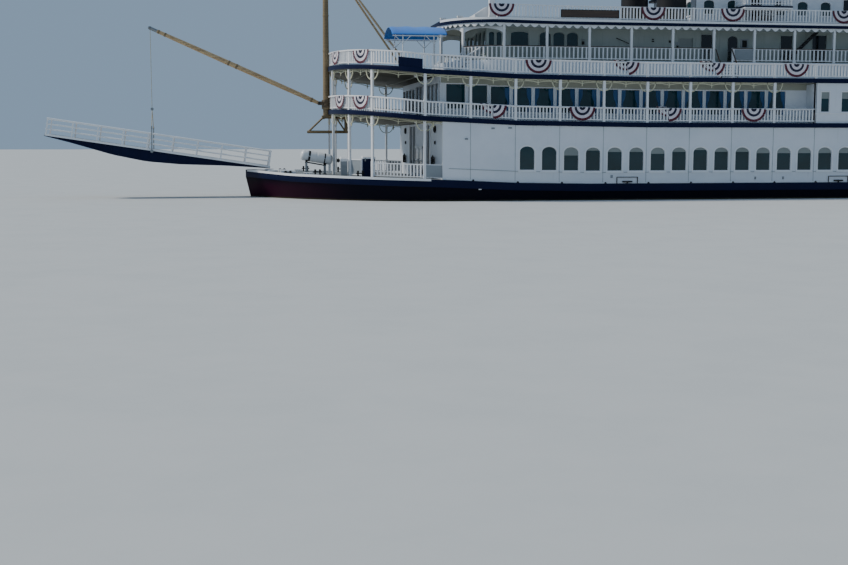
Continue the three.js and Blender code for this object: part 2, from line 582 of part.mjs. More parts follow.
// Columns: radius, height over deck four
const STACK_PROFILE = [
  [0, 0], [STACK_RADIUS + 18, 0], [STACK_RADIUS + 18, 30], [STACK_RADIUS, 45], [STACK_RADIUS, 950],
  [STACK_RADIUS + 14, 965], [STACK_RADIUS, 980], [STACK_RADIUS + 4, 1010], [STACK_RADIUS + 22, 1070],
  [STACK_RADIUS + 55, 1117], [STACK_RADIUS + 47, 1117], [STACK_RADIUS + 8, 1062], [STACK_RADIUS - 8, 1000],
  [0, 1000]];
for (const [side, , sign] of halves) {
  const profile = STACK_PROFILE.map(([radius, height]) => new THREE.Vector2(radius, height));
  const stack = new THREE.LatheGeometry(profile, 20).rotateX(Math.PI / 2)
    .translate(STACK_X, sign * STACK_Y, DECK4[1] + GAP);
  add(`stack_${side}`, toGeometry(solid(stack)), 'black');
}
const SPREADER_Z = DECK4[1] + 760;
const SPREADER_DEPTH = 120;
const spreaderEnd = STACK_Y - STACK_RADIUS - GAP;
add('stack_spreader', join([
  ...[0, SPREADER_DEPTH].map((lift) => bar([STACK_X, -spreaderEnd, SPREADER_Z + lift],
    [STACK_X, spreaderEnd, SPREADER_Z + lift], 9)),
  ...[-1, 1].map((sign) => bar([STACK_X, sign * spreaderEnd * 0.9, SPREADER_Z],
    [STACK_X, -sign * spreaderEnd * 0.9, SPREADER_Z + SPREADER_DEPTH], 5, 6)),
]), 'black');

// Mast in its notch, on a bracket under the nose of deck two, with two back stays down to deck three
const MAST_FOOT = 795;
const HEEL_Z = 883;
const COLLAR_SEAT = 852;
const SEAT_REACH = 9;
add('mast', join([
  bar([MAST_X, 0, MAST_FOOT], [MAST_X, 0, MAST_TOP], MAST_RADIUS, 12, MAST_RADIUS - 7),
  bar([MAST_X, 0, COLLAR_SEAT - 12], [MAST_X, 0, COLLAR_SEAT], MAST_RADIUS + SEAT_REACH, 12),
]), 'brown');
const SPAR_Z = 677;
const SPAR = [3429, 3727];
const underNose = (x) => DECK2[0] + deckRise(x) - GAP;
const BRACKET_BACK = 3440;
const STEP_BACK = 3510;
const STEP_HALF = 28;
add('mast_bracket', join([
  loft([BRACKET_BACK, STEP_BACK + 10].map((x) => [
    [x, -STEP_HALF, underNose(x) - 22], [x, STEP_HALF, underNose(x) - 22], [x, STEP_HALF, underNose(x)],
    [x, -STEP_HALF, underNose(x)]])),
  box(STEP_BACK, MAST_X + 34, -STEP_HALF, STEP_HALF, MAST_FOOT - 22, MAST_FOOT - GAP),
  bar([MAST_X + 20, 0, MAST_FOOT - 10], [SPAR[1] - 12, 0, SPAR_Z + 4], 7),
  bar([SPAR[0], 0, SPAR_Z], [SPAR[1], 0, SPAR_Z], 11),
  box(SPAR[0] + 4, SPAR[0] + 26, -11, 11, SPAR_Z, underNose(SPAR[0])),
  bar([SPAR[0] + 20, 0, SPAR_Z + 4], [STEP_BACK + 4, 0, MAST_FOOT - 16], 6),
]), 'brown');
const STAY_FOOT_X = 2962;
const STAY_SPREAD = 150;
const STAY_RADIUS = 8.5;
for (const [side, , sign] of halves) {
  const footY = sign * STAY_SPREAD;
  const footZ = DECK3[1] + deckRise(STAY_FOOT_X + 20) + GAP;
  const head = [MAST_X - MAST_RADIUS + 3, sign * 12, MAST_TOP - 26];
  add(`mast_stay_${side}`, join([
    bar([STAY_FOOT_X, footY, footZ + 6], head, STAY_RADIUS),
    box(STAY_FOOT_X - 20, STAY_FOOT_X + 20, footY - 20, footY + 20, footZ, footZ + 12),
  ]), 'wood');
}

// Swinging collar with its lugs, boom, falls
const BOOM_PIN_X = MAST_X + 52;
const BOOM_SLOPE = 23.6;
const BOOM_LENGTH = 1292;
const PIN = 5;
const PIN_PLAY = 0.6;
const LUG = 14;                            // half the clear width between the lugs
const LUG_PLATE = 7;
const LUG_HALF_HEIGHT = 13;
add('boom_collar', cut(join([
  bar([MAST_X, 0, COLLAR_SEAT + GAP], [MAST_X, 0, COLLAR_SEAT + 55], MAST_RADIUS + SEAT_REACH, 12),
  box(MAST_X + 20, BOOM_PIN_X + 14, -LUG - LUG_PLATE, LUG + LUG_PLATE, HEEL_Z - LUG_HALF_HEIGHT,
    HEEL_Z + LUG_HALF_HEIGHT),
]), [
  bar([MAST_X, 0, COLLAR_SEAT - 20], [MAST_X, 0, COLLAR_SEAT + 80], MAST_RADIUS + 1, 12),
  box(MAST_X + MAST_RADIUS + SEAT_REACH + 2, BOOM_PIN_X + 30, -LUG, LUG, HEEL_Z - 30, HEEL_Z + 30),
  bar([BOOM_PIN_X, -60, HEEL_Z], [BOOM_PIN_X, 60, HEEL_Z], PIN + PIN_PLAY, 12),
]), 'steel');
const slope = radians(BOOM_SLOPE);
const alongBoom = (s) => [BOOM_PIN_X + s * Math.cos(slope), 0, HEEL_Z + s * Math.sin(slope)];
const [tipX, , tipZ] = alongBoom(BOOM_LENGTH);
const TIP_SLOT = 9;
const TIP_PIN = 3;
// Columns: distance from the heel pin, radius
const BOOM_TAPER = [[-8, 11], [60, 16], [700, 18], [BOOM_LENGTH + 14, 12]];
const boomSpar = BOOM_TAPER.slice(1).map(([s, radius], i) => bar(alongBoom(BOOM_TAPER[i][0]), alongBoom(s),
  BOOM_TAPER[i][1], 10, radius));
const heelPinEnd = LUG + LUG_PLATE + 3;
const heelPin = bar([BOOM_PIN_X, -heelPinEnd, HEEL_Z], [BOOM_PIN_X, heelPinEnd, HEEL_Z], PIN, 12);
const slotted = cut(join([...boomSpar, heelPin]), [
  box(tipX - 26, tipX + 40, -TIP_SLOT / 2, TIP_SLOT / 2, tipZ - 40, tipZ + 40),
  ...[-1, 1].map((sign) => box(BOOM_PIN_X - 30, BOOM_PIN_X + 30, ...[sign * (LUG - 1), sign * (LUG + 6.9)]
    .sort((a, b) => a - b), HEEL_Z + PIN + 0.2, HEEL_Z + 60)),
  ...[-1, 1].map((sign) => box(BOOM_PIN_X - 30, BOOM_PIN_X + 30, ...[sign * (LUG - 1), sign * (LUG + 6.9)]
    .sort((a, b) => a - b), HEEL_Z - 60, HEEL_Z - PIN - 0.2)),
]);
add('boom', join([slotted, bar([tipX, -10, tipZ], [tipX, 10, tipZ], TIP_PIN, 8)]), 'wood');

// Landing stage hung from the falls: deck, fish belly girders, rails
const STAGE_SLOPE = 8.4;
const STAGE_FOOT = 4000;
const STAGE_FOOT_Z = 432;
const STAGE_LENGTH = 1565;
const STAGE_HALF = 118;
const STAGE_DECK = 12;
const stageTilt = radians(STAGE_SLOPE);
// A point of the stage from its distance out from the foot, side and height over the deck
const stagePoint = (s, y, h) => [
  STAGE_FOOT + s * Math.cos(stageTilt) - h * Math.sin(stageTilt), y,
  STAGE_FOOT_Z + s * Math.sin(stageTilt) + h * Math.cos(stageTilt)];
// A box in the stage's slope: from one distance to another, centred on y, between two heights
const stageBox = (s0, s1, y, half, h0, h1) => loft([s0, s1].map((s) => [
  stagePoint(s, y - half, h0), stagePoint(s, y + half, h0), stagePoint(s, y + half, h1),
  stagePoint(s, y - half, h1)]));
const HANG_H = -14;
const hangS = (tipX - STAGE_FOOT) / Math.cos(stageTilt);
const [hangX, , hangZ] = stagePoint(hangS, 0, HANG_H);
const GIRDER_DEPTH = 90;
const GIRDER = 12;
// Columns: share of the length, depth of the girder under the deck as a share of the deepest
const GIRDER_SHAPE = [[0, 0.16], [0.2, 0.45], [0.4, 0.85], [0.55, 1], [0.7, 0.85], [0.88, 0.4], [1, 0.16]];
const girder = (y) => loft(GIRDER_SHAPE.map(([share, depth]) => [
  stagePoint(share * STAGE_LENGTH, y - GIRDER / 2, -depth * GIRDER_DEPTH),
  stagePoint(share * STAGE_LENGTH, y + GIRDER / 2, -depth * GIRDER_DEPTH),
  stagePoint(share * STAGE_LENGTH, y + GIRDER / 2, -2), stagePoint(share * STAGE_LENGTH, y - GIRDER / 2, -2),
]));
const stageDeck = stageBox(0, STAGE_LENGTH, 0, STAGE_HALF, -STAGE_DECK, 0);
const HANG_PIN = 5;
add('stage_platform', join([
  stageDeck, girder(STAGE_HALF - 12), girder(-STAGE_HALF + 12),
  bar([hangX, -STAGE_HALF - 22, hangZ], [hangX, STAGE_HALF + 22, hangZ], HANG_PIN, 10),
]), 'navy');
const STAGE_RAIL = 108;
const STAGE_POSTS = 10;
// Columns: height over the deck, half thickness
const STAGE_RODS = [[36, 4], [72, 4], [STAGE_RAIL, 6]];
for (const [side, , sign] of halves) {
  const y = sign * (STAGE_HALF - 8);
  const rods = STAGE_RODS.map(([h, half]) => stageBox(4, STAGE_LENGTH - 4, y, half, h - half, h + half));
  const uprights = Array.from({ length: STAGE_POSTS }, (_, i) => {
    const s = 10 + (STAGE_LENGTH - 20) * i / (STAGE_POSTS - 1);
    return stageBox(s - 5, s + 5, y, 4, GAP, STAGE_RAIL);
  });
  add(`stage_rail_${side}`, join([...rods, ...uprights]), 'white');
}
// Falls: one line from the boom tip to a hook, then two legs outside the rails to pins on the girders
const HOOK_Z = 830;
const LEG_Y = STAGE_HALF + 16;
const ELBOW_Z = hangZ + 160;
const LINE = 3.2;
add('stage_falls', cut(join([
  bar([tipX, 0, tipZ - 10], [tipX, 0, HOOK_Z + 10], LINE, 8),
  bar([tipX, -3.5, tipZ], [tipX, 3.5, tipZ], 13, 12),
  bar([tipX, -4, HOOK_Z + 6], [tipX, 4, HOOK_Z + 6], 11, 10),
  ...[-1, 1].flatMap((sign) => [
    bar([tipX, 0, HOOK_Z], [tipX, sign * LEG_Y, ELBOW_Z], LINE, 8),
    bar([tipX, sign * LEG_Y, ELBOW_Z + 3], [hangX, sign * LEG_Y, hangZ + 6], 4, 8),
    bar([hangX, sign * LEG_Y - 4, hangZ], [hangX, sign * LEG_Y + 4, hangZ], 11, 12),
  ]),
]), [
  bar([tipX, -20, tipZ], [tipX, 20, tipZ], TIP_PIN + PIN_PLAY, 10),
  bar([hangX, -200, hangZ], [hangX, 200, hangZ], HANG_PIN + PIN_PLAY, 10),
]), 'steel');

// Stern wheel between two beams that run aft from the deck
const WHEEL_X = -4595;
const WHEEL_Z = 504;
const WHEEL_RADIUS = 366;
const WHEEL_HALF = 548;
const SHAFT = 24;
const JOURNAL = 17;
const ARMS = 14;
const BEAM_Y = WHEEL_HALF + 42;
const BEAM_HALF = 26;
const BUCKET = 78;
const FLANGES = [-0.94, -0.32, 0.32, 0.94];
function wheelRing(y, outer, inner, half) {
  return loft(Array.from({ length: ARMS }, (_, i) => {
    const angle = radians(i * 360 / ARMS);
    const point = (radius, dy) => [
      WHEEL_X + radius * Math.cos(angle), y + dy, WHEEL_Z + radius * Math.sin(angle)];
    return [point(inner, -half), point(outer, -half), point(outer, half), point(inner, half)];
  }), true);
}
// A board of the wheel at one arm, between two radii and two places along the shaft
const wheelBoard = (arm, from, to, y0, y1, half) => box(from, to, y0, y1, -half, half)
  .rotateY(-radians(arm * 360 / ARMS)).translate(WHEEL_X, 0, WHEEL_Z);
const wheelPieces = [
  bar([WHEEL_X, -WHEEL_HALF - 8, WHEEL_Z], [WHEEL_X, WHEEL_HALF + 8, WHEEL_Z], SHAFT, 12),
  bar([WHEEL_X, -BEAM_Y - BEAM_HALF - 6, WHEEL_Z], [WHEEL_X, BEAM_Y + BEAM_HALF + 6, WHEEL_Z], JOURNAL, 12),
];
for (const share of FLANGES) {
  const y = share * WHEEL_HALF;
  wheelPieces.push(bar([WHEEL_X, y - 14, WHEEL_Z], [WHEEL_X, y + 14, WHEEL_Z], 58, ARMS));
  wheelPieces.push(wheelRing(y, WHEEL_RADIUS - BUCKET, WHEEL_RADIUS - BUCKET - 16, 6));
  for (let arm = 0; arm < ARMS; arm++) {
    wheelPieces.push(wheelBoard(arm, 40, WHEEL_RADIUS - BUCKET + 4, y - 7, y + 7, 7));
  }
}
for (let arm = 0; arm < ARMS; arm++) {
  wheelPieces.push(wheelBoard(arm, WHEEL_RADIUS - BUCKET, WHEEL_RADIUS, -WHEEL_HALF, WHEEL_HALF, 4.5));
}
add('paddle_wheel', join(wheelPieces), 'red');

const BEAM_START = -3910;
const BEAM_END = WHEEL_X - 90;
for (const [side, , sign] of halves) {
  const y = sign * BEAM_Y;
  const beam = loft([[BEAM_START, MAIN_DECK + GAP, 400], [TRANSOM + 10, MAIN_DECK + GAP, 500],
    [WHEEL_X + 110, 420, 520], [BEAM_END, 440, 520]].map(([x, low, high]) => [
    [x, y - BEAM_HALF, low], [x, y + BEAM_HALF, low], [x, y + BEAM_HALF, high], [x, y - BEAM_HALF, high]]));
  const block = box(WHEEL_X - 50, WHEEL_X + 50, y - BEAM_HALF, y + BEAM_HALF, 470, 560);
  const bore = bar([WHEEL_X, y - 60, WHEEL_Z], [WHEEL_X, y + 60, WHEEL_Z], JOURNAL + 1, 16);
  add(`wheel_beam_${side}`, cut(join([beam, block]), [bore]), 'white');
}

// Foredeck: raft canister on its cradle, bow end up
const CANISTER_MIDDLE = [3680, 250, 497];
const CANISTER_LENGTH = 230;
const CANISTER_RADIUS = 37;
const canisterTilt = radians(10);
const canisterProfile = [[0, 0], [24, 4], [CANISTER_RADIUS, 20], [CANISTER_RADIUS, CANISTER_LENGTH - 20],
  [24, CANISTER_LENGTH - 4], [0, CANISTER_LENGTH]]
  .map(([radius, at]) => new THREE.Vector2(radius, at - CANISTER_LENGTH / 2));
add('raft_canister', toGeometry(solid(new THREE.LatheGeometry(canisterProfile, 12).rotateZ(-Math.PI / 2)
  .rotateY(-canisterTilt).translate(...CANISTER_MIDDLE))), 'white');
const SADDLES = [3606, 3742];
const SADDLE_HALF = 8;
const [canisterX, canisterY, canisterZ] = CANISTER_MIDDLE;
const underCanister = (x) => canisterZ + (x - SADDLE_HALF - canisterX) * Math.tan(canisterTilt)
  - CANISTER_RADIUS / Math.cos(canisterTilt) - GAP;
add('raft_cradle', join([
  ...SADDLES.flatMap((x) => [
    box(x - SADDLE_HALF, x + SADDLE_HALF, canisterY - 34, canisterY + 34, underCanister(x) - 12,
      underCanister(x)),
    ...[-26, 26].map((dy) => post(x, canisterY + dy, 16, (px) => deckTop(px) + GAP,
      () => underCanister(x) - 5)),
  ]),
  bar([SADDLES[0], canisterY, underCanister(SADDLES[0]) - 8], [SADDLES[1], canisterY,
    underCanister(SADDLES[1]) - 8], 5),
]), 'dark');

// Canopy over the forward end of deck three on its frame
const CANOPY = [2807, 3188];
const CANOPY_Y = [190, 600];
const CANOPY_EAVE = 1328;
const CANOPY_RISE = 70;
const CANOPY_FRAME = [2899, 3113];
const canopyLift = (share) => CANOPY_RISE * Math.sin(Math.PI * share) ** 0.7;
add('canopy', loft([0, 0.1, 0.25, 0.5, 0.75, 0.9, 1].map((share) => {
  const y = CANOPY_Y[0] + share * (CANOPY_Y[1] - CANOPY_Y[0]);
  const z = CANOPY_EAVE + canopyLift(share);
  return [[CANOPY[0], y, z], [CANOPY[1], y, z], [CANOPY[1], y, z + 4], [CANOPY[0], y, z + 4]];
})), 'canvas');
const canopyCorners = CANOPY_FRAME.flatMap((x) => CANOPY_Y.map((y, i) => [x, y + (i ? -5 : 5)]));
add('canopy_frame', join([
  ...canopyCorners.map(([x, y]) => post(x, y, 10, (px) => DECK3[1] + deckRise(px) + GAP,
    () => CANOPY_EAVE - 5)),
  ...CANOPY_Y.map((y, i) => box(...[CANOPY[0] + 6, CANOPY[1] - 6], y + (i ? -9 : 1), y + (i ? -1 : 9),
    CANOPY_EAVE - 10, CANOPY_EAVE - GAP)),
  ...CANOPY_FRAME.map((x) => box(x - 4, x + 4, CANOPY_Y[0] + 1, CANOPY_Y[1] - 1, CANOPY_EAVE - 10,
    CANOPY_EAVE - 1)),
]), 'white');

// Bunting: half round fans on a tape along the outside of a rail
const FAN_RADIUS = 82;
const FAN = 3;
const FAN_ANGLES = [0, 30, 60, 90, 120, 150, 180];
const NOSE_FANS = [68.5, 47];
function fan(x, y, heading, top) {
  const shape = new THREE.Shape(FAN_ANGLES.map((angle) => new THREE.Vector2(
    FAN_RADIUS * Math.cos(radians(angle)), -FAN_RADIUS * Math.sin(radians(angle)))));
  return new THREE.ExtrudeGeometry(shape, { depth: FAN, bevelEnabled: false }).translate(0, 0, -FAN / 2)
    .rotateX(Math.PI / 2).rotateZ(heading).translate(x, y, top);
}
const TAPE = 3;
const TAPE_BAND = [RAIL_HEIGHT - 7, RAIL_HEIGHT - 1];
const NOSE_TAPE = 2.6;                     // the chords of the rounded end run this much further out
function bunting(turn, sign, floor, out, bays, aft) {
  const tape = railAt(turn(rowPath(aft, out, out + NOSE_TAPE)), floor, deckRise, TAPE_BAND, TAPE);
  const fans = [
    ...bays.map((bay) => fan(sideX(bay), sign * (sideLine + out), 0,
      floor + TAPE_BAND[1] - 1 + deckRise(sideX(bay) - FAN_RADIUS))),
    ...NOSE_FANS.map((angle) => {
      const [x, y, heading] = nosePoint(angle, out + NOSE_TAPE);
      return fan(x, sign * y, sign * heading, floor + TAPE_BAND[1] - 4 + deckRise(x));
    }),
  ];
  return join([tape, ...fans]);
}
const COLUMN_TAPE = COLUMN / 2 + GAP + TAPE / 2;
const RAIL_TAPE = RAIL / 2 + GAP + TAPE / 2;
const DECK2_FANS = [1.5, 3.5, 5.5, 7.5];
const DECK3_FANS = Array.from({ length: 10 }, (_, i) => 2.5 + 2 * i);
for (const [side, turn, sign] of halves) {
  add(`bunting_deck2_${side}`, bunting(turn, sign, DECK2[1], COLUMN_TAPE, DECK2_FANS,
    FLUSH_X + WALL / 2 + 2), 'cloth');
  add(`bunting_deck3_${side}`, bunting(turn, sign, DECK3[1], RAIL_TAPE, DECK3_FANS, sideX(DECK3_BAYS)),
    'cloth');
}

export default group;
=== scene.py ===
# %% [markdown]
# # Dressing a sternwheel paddle boat
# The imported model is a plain, correct boat at one tenth of full size. This lesson gives every surface its
# finish and adds the fine joinery: balusters, brackets, windows, drapes, bunting, planks and rigging. Its
# objects are never moved, so anything we build can use their boxes as measuring marks.

import math
import random

import bmesh
import bpy
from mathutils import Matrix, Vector


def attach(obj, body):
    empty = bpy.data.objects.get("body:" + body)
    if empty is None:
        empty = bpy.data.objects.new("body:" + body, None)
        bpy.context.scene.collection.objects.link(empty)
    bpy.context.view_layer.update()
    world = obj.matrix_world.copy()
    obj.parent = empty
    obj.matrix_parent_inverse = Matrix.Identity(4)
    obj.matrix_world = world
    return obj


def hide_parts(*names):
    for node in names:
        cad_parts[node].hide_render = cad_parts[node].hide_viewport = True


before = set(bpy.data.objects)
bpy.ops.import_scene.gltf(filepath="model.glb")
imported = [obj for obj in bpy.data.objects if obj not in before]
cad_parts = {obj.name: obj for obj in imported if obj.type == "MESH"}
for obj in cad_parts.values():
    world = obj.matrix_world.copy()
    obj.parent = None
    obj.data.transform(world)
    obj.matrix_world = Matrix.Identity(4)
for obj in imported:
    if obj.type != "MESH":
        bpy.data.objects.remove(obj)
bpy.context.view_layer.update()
random.seed(11)

# %% [markdown]
# The camera comes first, because everything else is judged through it. The view is from a bank about
# ninety metres off the real boat, a little above its main deck. The evenly spaced columns of the side gave
# the lens and the aim. Each place is written as a real distance times the model's scale.

# %% Camera
SCALE = 0.1
WATERLINE = 0.213
IMAGE_WIDTH = 848
FOCAL_PIXELS = 1222
SENSOR = 36.0
CAMERA_FORWARD = 43.7 * SCALE
CAMERA_OFF_SIDE = 89.4 * SCALE
CAMERA_ABOVE_WATER = 3.9 * SCALE
AIM_AFT = math.radians(9.54)
AIM_DOWN = math.radians(6.55)


def make_camera():
    data = bpy.data.cameras.new("bank_camera")
    data.sensor_width = SENSOR
    data.lens = FOCAL_PIXELS / IMAGE_WIDTH * SENSOR
    data.clip_end = 200
    camera = bpy.data.objects.new("bank_camera", data)
    bpy.context.scene.collection.objects.link(camera)
    camera.location = (CAMERA_FORWARD, CAMERA_OFF_SIDE, WATERLINE + CAMERA_ABOVE_WATER)
    camera.rotation_euler = (math.pi / 2 - AIM_DOWN, 0, math.pi - AIM_AFT)
    bpy.context.scene.camera = camera
    return camera


camera = make_camera()
print("camera lens", round(camera.data.lens, 1), "mm at", tuple(round(c, 2) for c in camera.location))

# %% [markdown]
# Shared effects come next, as shader node groups. A node group is a small machine with named sockets: we
# build it once, then drop it into every material that needs it, each time with its own values. All of them
# read Object coordinates, so the pattern stays fixed to the boat when a piece swings with its joint.
# Three effects cover most of the boat: weather streaks that run down a wall, a soft mottle for large
# painted or dusty areas, and fine grain along one direction for wood and cloth.

# %% Effects as node groups
def new_group(name, inputs, outputs):
    """An empty node group with float inputs and named outputs."""
    group = bpy.data.node_groups.new(name, "ShaderNodeTree")
    for label, value in inputs:
        socket = group.interface.new_socket(label, in_out="INPUT", socket_type="NodeSocketFloat")
        socket.default_value = value
    for label in outputs:
        group.interface.new_socket(label, in_out="OUTPUT", socket_type="NodeSocketFloat")
    return group, group.nodes.new("NodeGroupInput"), group.nodes.new("NodeGroupOutput")


def dial(node, **values):
    """Set sockets of a node by their names, with an underscore for each space."""
    for label, value in values.items():
        node.inputs[label.replace("_", " ")].default_value = value


def stretched_noise(nodes, links, scale_vector, detail=4.0, roughness=0.6):
    """Noise over object coordinates, stretched along the axis with the small factor."""
    place = nodes.new("ShaderNodeTexCoord")
    mapping = nodes.new("ShaderNodeMapping")
    noise = nodes.new("ShaderNodeTexNoise")
    dial(mapping, Scale=scale_vector)
    dial(noise, Scale=1.0, Detail=detail, Roughness=roughness)
    links.new(place.outputs["Object"], mapping.inputs["Vector"])
    links.new(mapping.outputs["Vector"], noise.inputs["Vector"])
    return noise


def band(nodes, links, source, low, high):
    """A mask that climbs from 0 to 1 while source goes from low to high."""
    ramp = nodes.new("ShaderNodeMapRange")
    ramp.interpolation_type = "SMOOTHSTEP"
    dial(ramp, From_Min=low, From_Max=high)
    links.new(source, ramp.inputs["Value"])
    return ramp.outputs["Result"]


def math_node(nodes, links, operation, first, second):
    node = nodes.new("ShaderNodeMath")
    node.operation = operation
    for socket, value in zip(node.inputs, (first, second)):
        if isinstance(value, (int, float)):
            socket.default_value = value
        else:
            links.new(value, socket)
    return node.outputs["Value"]


def make_streaks():
    group, given, put = new_group("rain_streaks", [("Amount", 0.5)], ["Mask"])
    nodes, links = group.nodes, group.links
    fine = stretched_noise(nodes, links, (70, 70, 3.2), detail=3)
    broad = stretched_noise(nodes, links, (1.6, 1.6, 4), detail=2)
    runs = band(nodes, links, fine.outputs["Fac"], 0.54, 0.78)
    where = band(nodes, links, broad.outputs["Fac"], 0.42, 0.7)
    both = math_node(nodes, links, "MULTIPLY", runs, where)
    links.new(math_node(nodes, links, "MULTIPLY", both, given.outputs["Amount"]), put.inputs["Mask"])
    return group


def make_mottle():
    group, given, put = new_group("soft_mottle", [("Amount", 0.5)], ["Mask", "Height"])
    nodes, links = group.nodes, group.links
    broad = stretched_noise(nodes, links, (5, 5, 7), detail=5)
    grit = stretched_noise(nodes, links, (260, 260, 260), detail=3)
    patch = band(nodes, links, broad.outputs["Fac"], 0.35, 0.75)
    links.new(math_node(nodes, links, "MULTIPLY", patch, given.outputs["Amount"]), put.inputs["Mask"])
    links.new(grit.outputs["Fac"], put.inputs["Height"])
    return group


def make_grain():
    group, given, put = new_group("long_grain", [("Amount", 0.5)], ["Mask", "Height"])
    nodes, links = group.nodes, group.links
    lines = stretched_noise(nodes, links, (6, 160, 160), detail=6, roughness=0.7)
    mask = band(nodes, links, lines.outputs["Fac"], 0.38, 0.66)
    links.new(math_node(nodes, links, "MULTIPLY", mask, given.outputs["Amount"]), put.inputs["Mask"])
    links.new(lines.outputs["Fac"], put.inputs["Height"])
    return group


STREAKS, MOTTLE, GRAIN = make_streaks(), make_mottle(), make_grain()
print("effects:", [g.name for g in (STREAKS, MOTTLE, GRAIN)])

# %% [markdown]
# Each finish is one material around the Principled shader. `coat` builds the common recipe: a base colour
# that a soft mottle shifts a little, streaks or grain that darken it, and a fine bump from the same masks.
# Uniform values such as metallic, coat and the mirror part go straight on the shader's sockets; the mottle varies
# the roughness.

# %% Paints and other finishes
def rgb(red, green, blue):
    """An sRGB colour from 0 to 255 as the linear colour that a shader wants."""
    def linear(value):
        value /= 255
        return value / 12.92 if value <= 0.04045 else ((value + 0.055) / 1.055) ** 2.4
    return (linear(red), linear(green), linear(blue), 1.0)


def place_group(nodes, group, amount):
    node = nodes.new("ShaderNodeGroup")
    node.node_tree = group
    dial(node, Amount=amount)
    return node


def add_relief(nodes, links, shader, height, strength, distance):
    """Fine relief on a shader, from a mask that stands for height."""
    relief = nodes.new("ShaderNodeBump")
    dial(relief, Strength=strength, Distance=distance)
    links.new(height, relief.inputs["Height"])
    links.new(relief.outputs["Normal"], shader.inputs["Normal"])


def mix_colour(nodes, links, mask, first, second):
    mix = nodes.new("ShaderNodeMix")
    mix.data_type = "RGBA"
    links.new(mask, mix.inputs["Factor"])
    for socket, value in ((mix.inputs[6], first), (mix.inputs[7], second)):
        if isinstance(value, tuple):
            socket.default_value = value
        else:
            links.new(value, socket)
    return mix.outputs[2]


def coat(name, base, shifted, dirt, roughness=0.45, metallic=0.0, mottle=0.5, streaks=0.3, grain=0.0,
         bump=0.15, gloss=0.0, shine=0.5):
    """A painted, varnished or bare surface with mottle, dirt runs and fine relief; shine is its mirror part."""
    material = bpy.data.materials.new(name)
    material.use_nodes = True
    nodes, links = material.node_tree.nodes, material.node_tree.links
    shader = nodes["Principled BSDF"]
    dial(shader, Metallic=metallic, Coat_Weight=gloss, Coat_Roughness=0.15, Specular_IOR_Level=shine)
    soft = place_group(nodes, MOTTLE, mottle)
    colour = mix_colour(nodes, links, soft.outputs["Mask"], base, shifted)
    height = soft.outputs["Height"]
    if grain:
        along = place_group(nodes, GRAIN, grain)
        colour = mix_colour(nodes, links, along.outputs["Mask"], colour, dirt)
        height = along.outputs["Height"]
    if streaks:
        runs = place_group(nodes, STREAKS, streaks)
        colour = mix_colour(nodes, links, runs.outputs["Mask"], colour, dirt)
    links.new(colour, shader.inputs["Base Color"])
    wear = nodes.new("ShaderNodeMapRange")
    dial(wear, To_Min=roughness, To_Max=min(roughness + 0.2, 1))
    links.new(soft.outputs["Mask"], wear.inputs["Value"])
    links.new(wear.outputs["Result"], shader.inputs["Roughness"])
    add_relief(nodes, links, shader, height, bump, 0.001)
    return material


GRIME = rgb(96, 92, 84)
# The white has a faint blue painted in: the sky-lit shade on the side that faces us.
WHITE = coat("white_marine_paint", rgb(226, 231, 238), rgb(208, 216, 226), GRIME, 0.42, streaks=0.35)
TRIM = coat("white_trim_paint", rgb(240, 241, 243), rgb(222, 227, 233), GRIME, 0.38, streaks=0.15, mottle=0.3)
# Cream for the soffits; on the band above the salon windows the same cream is painted shade, the warm bounce light
# under deck three.
CREAM = coat("cream_soffit_and_shaded_band", rgb(166, 168, 154), rgb(146, 149, 136), GRIME, 0.7, streaks=0.0)
# Sage is the suites' greenish paint, darkened as painted shade for the deep shade under the gallery roof.
SAGE_SHADED = coat("sage_paint_and_painted_shade", rgb(166, 176, 172), rgb(146, 158, 154), GRIME, 0.55, streaks=0.3, shine=0.3)
NAVY = coat("navy_edge_paint", rgb(8, 18, 52), rgb(14, 26, 64), rgb(40, 52, 80), 0.42, streaks=0.3,
            mottle=0.4, shine=0.12)
WALKWAY = coat("grey_deck_paint", rgb(128, 134, 138), rgb(110, 116, 120), rgb(74, 72, 68), 0.75, streaks=0.0,
               mottle=0.8, bump=0.5)
BLACK = coat("matt_black_paint", rgb(26, 27, 30), rgb(40, 40, 42), rgb(84, 76, 70), 0.6, streaks=0.5, mottle=0.6,
             shine=0.3)
MAST_BROWN = coat("brown_mast_paint", rgb(142, 122, 88), rgb(116, 98, 70), rgb(58, 44, 32), 0.55, streaks=0.2,
                  grain=0.4)
TIMBER = coat("varnished_spar", rgb(206, 178, 132), rgb(188, 156, 110), rgb(122, 92, 62), 0.45, streaks=0.0,
              grain=0.7, bump=0.3, gloss=0.25)
RED = coat("red_wheel_paint", rgb(158, 30, 36), rgb(134, 26, 32), rgb(62, 34, 30), 0.5, streaks=0.7, grain=0.3)
STEEL = coat("galvanised_steel", rgb(150, 156, 160), rgb(122, 128, 132), rgb(92, 84, 74), 0.42, metallic=0.85,
             streaks=0.3, mottle=0.8)
ROPE = coat("laid_rope", rgb(196, 184, 152), rgb(170, 156, 122), rgb(110, 98, 74), 0.9, streaks=0.0, grain=0.6,
            bump=0.6)
DARK_WOOD = coat("dark_name_board", rgb(58, 40, 30), rgb(44, 30, 24), rgb(84, 64, 48), 0.5, streaks=0.2, grain=0.6,
                 gloss=0.3)
print("finishes so far:", len(bpy.data.materials))

# %% [markdown]
# Glass on a boat this size is best made as a dark pane a little behind the frame: it mirrors the sky
# and shows almost nothing of the room. The pane is smooth, with a faint wave so reflections break up.

